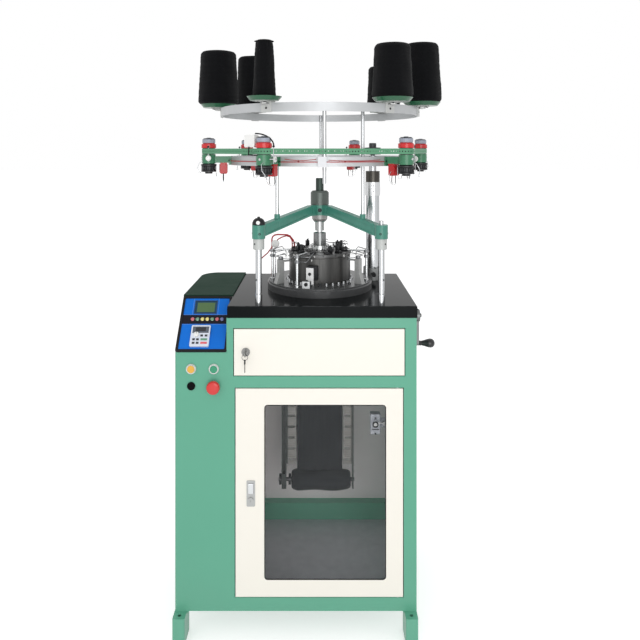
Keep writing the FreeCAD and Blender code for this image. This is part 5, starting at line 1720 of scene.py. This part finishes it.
@dataclass
class FeederLevel(Assembly):
    """The feeder hoop, its six yarn feeders, the stop motions, the belt and the column that drives it."""

    angles: tuple[float, ...] = (-25.5, 43.0, 105.0, 158.0, 228.0, 284.0)
    circle: float = 0.37
    hoop_radius: float = 0.3
    hoop_low: float = 1.392
    hoop_height: float = 0.028
    spool_low: float = 1.364
    body_low: float = 1.397
    spool_band: Pair = (1.3755, 1.389)
    disc_band: Pair = (1.446, 1.4618)
    rim_low: float = 1.4742
    sleeve: Pair = (1.2778, 1.3262)
    head_top: float = 1.3652
    foot_top: float = 1.0222
    clamp_front: float = 0.2935
    lamp_low: float = 1.363
    drive_place: Vector = field(default_factory=lambda: Vector((0.204, 0.118, 0.0)))

    def wheel_layers(self, shader: Shader, skin: Skin) -> None:
        """The bands of a feeder's wheel: spool, pulley, clutch disc and cap.

        Args:
            shader: the material.
            skin: the values that it changes.
        """
        _, _, z = shader.place()
        drum = z.between(*self.spool_band)
        disc = z.between(*self.disc_band)
        cap = z.above(self.disc_band[1])
        rim = z.above(self.rim_low)
        skin.lay(drum, tone(52, 54, 56))
        skin.lay(disc, tone(206, 40, 42))
        skin.lay(cap, tone(156, 162, 176))
        skin.lay(rim, tone(58, 60, 66))
        skin.roughness = 0.36 - disc * 0.22

    def column_layers(self, shader: Shader, skin: Skin) -> None:
        """Chromed tubes with painted reflection bands, a dark sleeve and a pale foot.

        Args:
            shader: the material.
            skin: the values that it changes.
        """
        _, _, z = shader.place()
        sleeve = z.between(*self.sleeve)
        head = z.between(self.sleeve[1], self.head_top)
        foot = z.below(self.foot_top)
        # painted reflection: dark upright bands from the way each face turns
        skin.lay(shader.bars() * 0.6, tone(52, 53, 55))
        skin.lay(sleeve * 0.7, tone(206, 207, 208))
        skin.lay(head, tone(70, 68, 64))
        skin.lay(foot, tone(150, 152, 152))
        skin.roughness = 0.2 + foot * 0.3

    def rod_layers(self, shader: Shader, skin: Skin) -> None:
        """Bright rods with painted reflection bands, and pale clamp blocks at the hoops.

        Args:
            shader: the material.
            skin: the values that it changes.
        """
        _, y, z = shader.place()
        # painted reflection: dark upright bands from the way each face turns
        skin.lay(shader.bars() * 0.85, tone(62, 63, 65))
        clamp = z.between(self.hoop_low - 0.0012, self.hoop_low + self.hoop_height + 0.0012)
        front = clamp * abs(y).above(self.clamp_front)
        skin.lay(front, tone(204, 205, 208))
        skin.metallic = 1.0 - front * 0.8
        skin.roughness = 0.22 + front * 0.2

    def belt(self) -> None:
        """The belt, set out round the same pulleys as the feeders."""
        stops: list[tuple[Vector, float, Turn]] = []
        for position, angle in enumerate(self.angles):
            stops.append((polar(angle, self.circle), 0.02105, Turn.INSIDE))
            if position == 2:
                stops.append((self.drive_place, 0.02505, Turn.OUTSIDE))
        finish = Finish("belt_green", tone(88, 150, 114), roughness=0.6, drift=0.12)
        Belt(stops).mesh().done("punched_belt", finish, "machine", "belt_green", ["drive_belt"], 50.0)

    def spool_pins(self, index: int, angle: float) -> None:
        """The ring of upright wires that a feeder's yarn lies on, and the wheel's small parts.

        Args:
            index: the feeder's number.
            angle: where it stands, in degrees from straight ahead.
        """
        centre = polar(angle, self.circle)
        bench = Bench()
        spool_radius = 0.0225
        for a in round_steps(18):
            foot = centre + Vector((math.cos(a), math.sin(a), 0.0)) * spool_radius + UP * self.spool_low
            bench.rod([foot + UP * 0.0085, foot + UP * 0.0262], 0.00115, 6)
        for height in (0.0105, 0.0245):
            bench.loop(centre + UP * (self.spool_low + height), RIGHT, -FRONT, spool_radius, 0.0013, 36, 6)
        bench.done(f"spool_pins_{index}", BLACK, f"feeder_{index}", "black_plastic")
        bench = Bench()
        for k in range(6):
            a = math.radians(60.0 * k + 15.0)
            bench.block(Vector((0.0, -0.0011, 0.0)), Vector((0.0052, 0.0011, 0.0105)),
                        Matrix.Translation(centre + UP * 1.4632) @ Matrix.Rotation(a, 4, "Z")
                        @ Matrix.Translation((0.0155, 0.0, 0.0)), 0.0004)
        bench.turn([(0.0, 0.0), (0.0072, 0.0), (0.0072, 0.0014), (0.006, 0.0022), (0.0, 0.0022)],
                   centre + UP * 1.4779, UP, 24)
        bench.done(f"cap_ribs_{index}", GREY, f"feeder_{index}", "switch_grey")

    def fittings(self, index: int, angle: float) -> None:
        """A feeder's tension discs, eyelets, wire levers, lamp prongs and screws.

        Args:
            index: the feeder's number.
            angle: where it stands, in degrees from straight ahead.
        """
        out, side = outward(angle), aside(angle)
        steel, discs, dark, red = Bench(), Bench(), Bench(), Bench()
        body = polar(angle, self.circle)
        tensioner = body + side * 0.03 + out * 0.004 + UP * 1.414
        steel.rod([tensioner - side * 0.012, tensioner + side * 0.006], 0.0022, 10)
        steel.rod([tensioner + side * 0.004 - UP * 0.012, tensioner + side * 0.004 + UP * 0.036], 0.0013, 8)
        for offset, radius in ((0.0072, 0.0085), (0.01, 0.0085)):
            discs.turn([(0.0, 0.0), (0.003, 0.0002), (radius - 0.0012, 0.0006), (radius, 0.0002),
                        (radius - 0.001, -0.0004), (0.0, -0.0004)], tensioner + side * offset, side, 28)
        steel.screw(tensioner + side * 0.0105, side, 0.0027, 0.0034, False)
        bead = tensioner + side * 0.004 + UP * 0.036
        dark.turn([(0.0, -0.0036), (0.0026, -0.0026), (0.0038, 0.0), (0.0026, 0.0026), (0.0, 0.0036)],
                  bead, UP, 16)
        lever = body + out * 0.0205 + side * 0.01 + UP * 1.404
        steel.rod([lever, lever + out * 0.01 - UP * 0.004, lever + out * 0.017 - UP * 0.022 + side * 0.006,
                   lever + out * 0.01 - UP * 0.034 + side * 0.012], 0.0011, 8)
        eye = lever + out * 0.01 - UP * 0.0375 + side * 0.012
        steel.loop(eye, out, UP, 0.0036, 0.0009, 14, 6)
        inner = polar(angle, self.hoop_radius + 0.046, self.body_low - 0.002)
        steel.rod([inner - side * 0.009, inner - side * 0.01 - UP * 0.026, inner - side * 0.004 - UP * 0.04,
                   inner + side * 0.006 - UP * 0.041, inner + side * 0.01 - UP * 0.03], 0.001, 8)
        lamp = upright(polar(angle, self.hoop_radius + 0.012, self.lamp_low), angle)
        for y in (-0.0075, 0.0075):
            dark.bent(lamp, ((0.011, y, 0.001), (0.011, y * 1.25, -0.016), (0.011, y * 0.9, -0.0225)), 0.0012)
        steel.bent(lamp, ((0.011, -0.0105, 0.014), (0.011, -0.019, 0.004), (0.011, -0.02, -0.012),
                          (0.011, -0.012, -0.024), (0.011, 0.002, -0.028), (0.011, 0.014, -0.022)), 0.0009)
        for k in range(5):
            y = -0.0092 + 0.0046 * k
            red.block(Vector((0.0214, y - 0.0009, 0.004)), Vector((0.0236, y + 0.0009, 0.031)), lamp, 0.0004)
            red.block(Vector((-0.0016, y - 0.0009, 0.004)), Vector((0.0006, y + 0.0009, 0.031)), lamp, 0.0004)
        clamp = polar(angle, self.hoop_radius + 0.0048, self.hoop_low + self.hoop_height / 2.0)
        for y in (-0.0125, 0.0125):
            dark.screw(clamp + side * y + out * 0.0002, out, 0.003, 0.0026)
        for k in range(4):
            a = math.radians(45.0 + 90.0 * k)
            seat = body + Vector((math.cos(a), math.sin(a), 0.0)) * 0.0175 + UP * self.body_low
            dark.screw(seat, -UP, 0.0019, 0.0002)
        steel.screw(body + out * 0.0215 + UP * 1.4135, out, 0.0034, 0.0028)
        steel.done(f"feeder_wires_{index}", BRIGHT, "machine", "screw_steel")
        discs.done(f"tension_discs_{index}", WHITE, "machine", "frame_white")
        dark.done(f"feeder_trim_{index}", BLACK, "machine", "black_plastic")
        red.done(f"lamp_ribs_{index}", RED, "machine", "signal_red")

    def extras(self) -> None:
        """The white sensor box on its arm, the bolts of the drive column and the hoop, and the red leads."""
        angle = self.angles[0]
        body = polar(angle, self.circle)
        bench = Bench()
        place = upright(body - aside(angle) * 0.04 + UP * 1.4475, angle)
        bench.block(Vector((-0.012, -0.018, 0.0)), Vector((0.012, 0.016, 0.036)), place, 0.003)
        bench.done("sensor_box", WHITE, "machine", "frame_white")
        bench = Bench()
        out, side = outward(angle), aside(angle)
        stem = body - side * 0.04
        bench.rod([body + out * 0.019 + UP * 1.425, stem + out * 0.017 + UP * 1.426,
                   stem + out * 0.015 + UP * 1.449], 0.0022, 10)
        bench.rod([body + side * (-0.0285 + 0.061 * math.sin(a)) + UP * (1.451 + 0.036 * math.cos(a))
                   for a in (math.pi / 2.0 * k / 14.0 for k in range(15))], 0.002, 10)
        bench.done("sensor_arm", BLACK, "machine", "black_plastic")
        bench = Bench()
        for k in range(8):
            a = math.radians(45.0 * k + 12.0)
            side = Vector((math.cos(a), math.sin(a), 0.0))
            bench.screw(self.drive_place + side * 0.0285 + UP * 1.022, UP, 0.0032, 0.0026)
        for z in (1.292, 1.313):
            bench.screw(self.drive_place + Vector((0.0, -0.0272, z)), FRONT, 0.0026, 0.001)
        bench.screw(self.drive_place + Vector((0.0, -0.0335, 1.002)), FRONT, 0.008, 0.012)
        for turn in (-12.0, 14.0, 167.0, 191.0, 80.0, 262.0):
            radial = outward(turn)
            bench.screw(polar(turn, self.hoop_radius - 0.0003, self.hoop_low + 0.014), radial, 0.0026, 0.0013)
        bench.done("column_bolts", DARK)
        bench = Bench()
        for start, step, height, sag in ((-20.0, 0.9, 0.0215, 0.004), (4.6, 1.6, 0.0185, 0.0025)):
            bench.rod([polar(start + step * k, self.hoop_radius + 0.0012,
                             self.hoop_low + height - sag * math.sin(math.pi * k / 20.0)) for k in range(21)],
                      0.0009, 8)
        bench.done("signal_leads", WIRE_RED, "machine", "wire_red")

    def build(self) -> None:
        """Finish the level's nodes and add its belt and small pieces."""
        wheel = Masked("wheel_mixed", tone(26, 27, 29), roughness=0.36, drift=0.05, layers=self.wheel_layers)
        column = Masked("column_chrome", tone(200, 202, 204), roughness=0.2, metallic=1.0, grain=0.0,
                        layers=self.column_layers)
        rods = Masked("rod_chrome", tone(206, 208, 210), roughness=0.26, metallic=1.0, grain=0.0,
                      layers=self.rod_layers)
        self.dress({wheel: [f"feeder_wheel_{k}" for k in range(1, 7)], column: ["belt_column"],
                    BLUED: ["drive_pulley"], rods: ["support_rods"], HOOP: ["feeder_hoop"],
                    FEEDER: ["feeder_brackets"], RED: ["stop_motions"], WIRE_RED: ["signal_wire"]})
        self.belt()
        for index, angle in enumerate(self.angles, 1):
            self.spool_pins(index, angle)
            self.fittings(index, angle)
        self.extras()


# ---- cone level
@dataclass(frozen=True)
class Package:
    """One yarn package: where it stands and how large it is."""

    angle: float
    foot: float
    top: float
    height: float
    base: float


@dataclass
class ConeLevel(Assembly):
    """The cone hoop with its brackets and dishes, and the yarn packages on their pegs."""

    circle: float = 0.342
    hoop_radius: float = 0.33
    dish_bottom: float = 1.582
    on_floor: float = 1.5843
    on_rim: float = 1.5943
    packages: tuple[Package, ...] = ()

    def __post_init__(self) -> None:
        """Set the six packages out, the widest of them on the rims of their dishes."""
        sizes = ((-28.0, 0.037, 0.028, 0.172), (38.5, 0.064, 0.055, 0.157), (74.0, 0.066, 0.056, 0.188),
                 (135.0, 0.065, 0.058, 0.16), (227.0, 0.065, 0.058, 0.195), (270.0, 0.071, 0.061, 0.177))
        dish_floor = 0.048
        self.packages = tuple(
            Package(angle, foot, top, height, self.on_rim if foot > dish_floor else self.on_floor)
            for angle, foot, top, height in sizes)

    def holder_layers(self, shader: Shader, skin: Skin) -> None:
        """Pale brackets under green dishes, and steel pegs.

        Args:
            shader: the material.
            skin: the values that it changes.
        """
        _, _, z = shader.place()
        dish = z.above(self.dish_bottom - 0.0001)
        peg = z.above(self.on_rim + 0.0012)
        skin.lay(dish, tone(40, 96, 66))
        skin.lay(peg, tone(160, 160, 158))
        skin.roughness = 0.4 - dish * 0.16

    def wound(self, index: int, package: Package) -> None:
        """One package: the wound yarn, and the end of its tube.

        Args:
            index: the package's number, from the left front one on.
            package: its place and its size.
        """
        foot = polar(package.angle, self.circle, package.base)
        bench = Bench(foot)
        rows = 46
        profile: list[Pair] = [(0.0215, 0.0035), (package.foot - 0.01, 0.0008)]
        for k in range(rows + 1):
            share = k / rows
            height = 0.0012 + (package.height - 0.0026) * share
            radius = package.foot + (package.top - package.foot) * share - 0.0015
            near = min(height, package.height - height)
            rounding = 0.0075 * (1.0 - min(1.0, near / 0.011)) ** 2
            profile.append((radius - rounding, height))
        profile += [(package.top - 0.012, package.height - 0.0004), (0.03, package.height - 0.0035),
                    (0.0225, package.height - 0.0068), (0.0195, package.height - 0.01)]

        def uneven(turn: float, along: float) -> float:
            """Soft lumps and rings where layers of yarn slipped.

            Args:
                turn: the place round it, in radians.
                along: the distance along its axis.

            Returns:
                What its radius grows by.
            """
            around = Vector((math.cos(turn), math.sin(turn), 0.0))
            lump = noise.noise(Vector((around.x * 2.2 + index * 7.0, around.y * 2.2, along * 21.0)))
            ring = noise.noise(Vector((index * 3.0, 0.4 * around.x, along * 150.0)))
            return lump * 0.0016 + ring * 0.0009 - 0.0012

        bench.turn(profile, foot, UP, 88, uneven)
        yarn = WoundYarn(f"wound_yarn_{index}", tone(11, 12, 15))
        bench.done(f"yarn_package_{index}", yarn, "machine", "yarn_black", ["yarn_cones"], 60.0)
        bench = Bench()
        low, high = package.base + 0.002, package.base + package.height - 0.001
        tall = high - low
        bench.turn([(0.0195, 0.0), (0.0195, tall), (0.0205, tall + 0.0006), (0.0185, tall + 0.0006),
                    (0.017, tall - 0.0008), (0.015, 0.0), (0.0195, 0.0)],
                   polar(package.angle, self.circle, low), UP, 40)
        tube = Finish("cone_tube", tone(60, 44, 40), roughness=0.6)
        bench.done(f"cone_tube_{index}", tube, "machine", "yarn_black")

    def fasteners(self) -> None:
        """The screws of each bracket, and the nut under each dish."""
        bench, nuts = Bench(), Bench()
        for package in self.packages:
            out, side = outward(package.angle), aside(package.angle)
            face = polar(package.angle, self.hoop_radius + 0.003, self.dish_bottom - 0.02)
            bench.turn([(0.0, 0.0), (0.0034, 0.0), (0.0034, 0.0006), (0.0024, 0.0009), (0.0, 0.0009)],
                       face, out, 20)
            for sign in (-1.0, 1.0):
                bench.screw(polar(package.angle, self.hoop_radius + 0.028, self.dish_bottom - 0.003)
                            + side * (sign * 0.012), -UP, 0.003, 0.0022)
            nuts.turn([(0.0072, 0.0), (0.0115, 0.0), (0.0122, 0.0008), (0.0122, 0.0052), (0.0115, 0.006),
                       (0.0072, 0.006)], polar(package.angle, self.circle, self.dish_bottom - 0.009), UP, 6)
        bench.done("bracket_screws", DARK)
        nuts.done("peg_nuts", SATIN)

    def build(self) -> None:
        """Finish the level's nodes and wind the packages."""
        holders = Masked("holder_mixed", tone(205, 206, 204), roughness=0.4, drift=0.06,
                         layers=self.holder_layers)
        self.dress({HOOP: ["cone_hoop"], holders: ["cone_holders"]})
        for index, package in enumerate(self.packages, 1):
            self.wound(index, package)
        self.fasteners()


# ---- studio
@dataclass
class Studio:
    """The floor, the light and the camera."""

    camera_place: Point = (0.0065, -2.03, 1.44)
    lens: float = 33.75
    shift: Pair = (0.0039, -0.2656)
    sky: float = 0.74
    lights: tuple[tuple[str, Point, float, float], ...] = (
        ("key_lamp", (-1.5, -2.4, 3.1), 1.8, 8.0), ("front_lamp", (0.3, -3.3, 1.1), 2.4, 34.0))

    def seen(self, shader: Shader) -> Wire:
        """1 on the rays that show the background: to the eye, in gloss and through glass.

        Args:
            shader: the material.

        Returns:
            The mask, 0 or 1.
        """
        rays = shader.node("ShaderNodeLightPath", {}, {})
        eye, gloss, through = (Wire(shader, rays.outputs[f"Is {kind} Ray"])
                               for kind in ("Camera", "Glossy", "Transmission"))
        return eye.most(gloss).most(through)

    def world(self) -> None:
        """White behind the object, and a soft even light from all sides."""
        world = bpy.data.worlds.new("studio_world")
        bpy.context.scene.world = world
        shader = Shader(world)
        soft = shader.node("ShaderNodeBackground", {}, {"Color": (1.0, 1.0, 1.0), "Strength": self.sky})
        white = shader.node("ShaderNodeBackground", {}, {"Color": (1.0, 1.0, 1.0), "Strength": 1.0})
        blend = shader.node("ShaderNodeMixShader", {}, {
            0: self.seen(shader), 1: Wire(shader, soft.outputs[0]), 2: Wire(shader, white.outputs[0])})
        shader.node("ShaderNodeOutputWorld", {}, {0: Wire(shader, blend.outputs[0])})

    def floor(self) -> None:
        """A plain pale floor that takes the machine's shadow."""
        size = 40.0
        data = bpy.data.meshes.new("studio_floor")
        data.from_pydata([(-size, -size, 0.0), (size, -size, 0.0), (size, size, 0.0), (-size, size, 0.0)], [],
                         [(0, 1, 2, 3)])
        floor = bpy.data.objects.new("studio_floor", data)
        bpy.context.scene.collection.objects.link(floor)
        shader = Shader(bpy.data.materials.new("floor_pale"))
        lift = shader.mix(self.seen(shader), (0.0, 0.0, 0.0), (0.52, 0.52, 0.52))
        data.materials.append(shader.finish(Skin((0.8, 0.8, 0.8), 0.7, 0.0, None, 1.0, lift),
                                            {"Emission Strength": 1.0, "Specular IOR Level": 0.1}))

    def lamps(self) -> None:
        """Large soft lamps: one from above to the left, and one in front that reaches into the cabinet."""
        for name, place, size, power in self.lights:
            data = bpy.data.lights.new(name, "AREA")
            data.shape = "DISK"
            data.size = size
            data.energy = power
            lamp = bpy.data.objects.new(name, data)
            lamp.location = place
            aim = Vector((0.0, 0.0, 0.9)) - Vector(place)
            lamp.rotation_euler = aim.to_track_quat("-Z", "Y").to_euler()
            bpy.context.scene.collection.objects.link(lamp)

    def camera(self) -> None:
        """The camera at the photograph's place, looking level."""
        data = bpy.data.cameras.new("camera")
        data.sensor_width = 36.0
        data.lens = self.lens
        data.shift_x, data.shift_y = self.shift
        camera = bpy.data.objects.new("camera", data)
        camera.location = self.camera_place
        camera.rotation_euler = (math.radians(90.0), 0.0, 0.0)
        bpy.context.scene.collection.objects.link(camera)
        bpy.context.scene.camera = camera

    def build(self) -> None:
        """Set the studio up."""
        bpy.context.scene.view_settings.view_transform = "Standard"
        self.world()
        self.floor()
        self.lamps()
        self.camera()


# ---- the whole machine
def main() -> None:
    """Build and dress each sub-assembly, then set the studio up."""
    logging.basicConfig(level=logging.INFO, format="%(message)s")
    for part in (Cabinet(), ControlPanel(), KnittingHead(), Bridge(), TakeDown(), FeederLevel(), ConeLevel()):
        LOG.info("building %s", type(part).__name__)
        part.build()
    Studio().build()


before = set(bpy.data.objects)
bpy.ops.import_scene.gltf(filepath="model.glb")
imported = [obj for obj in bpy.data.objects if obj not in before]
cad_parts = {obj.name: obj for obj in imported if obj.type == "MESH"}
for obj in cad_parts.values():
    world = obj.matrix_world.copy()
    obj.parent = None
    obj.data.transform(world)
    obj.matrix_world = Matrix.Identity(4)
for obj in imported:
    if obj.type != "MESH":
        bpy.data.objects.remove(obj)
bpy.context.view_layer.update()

if __name__ == "__main__":
    main()
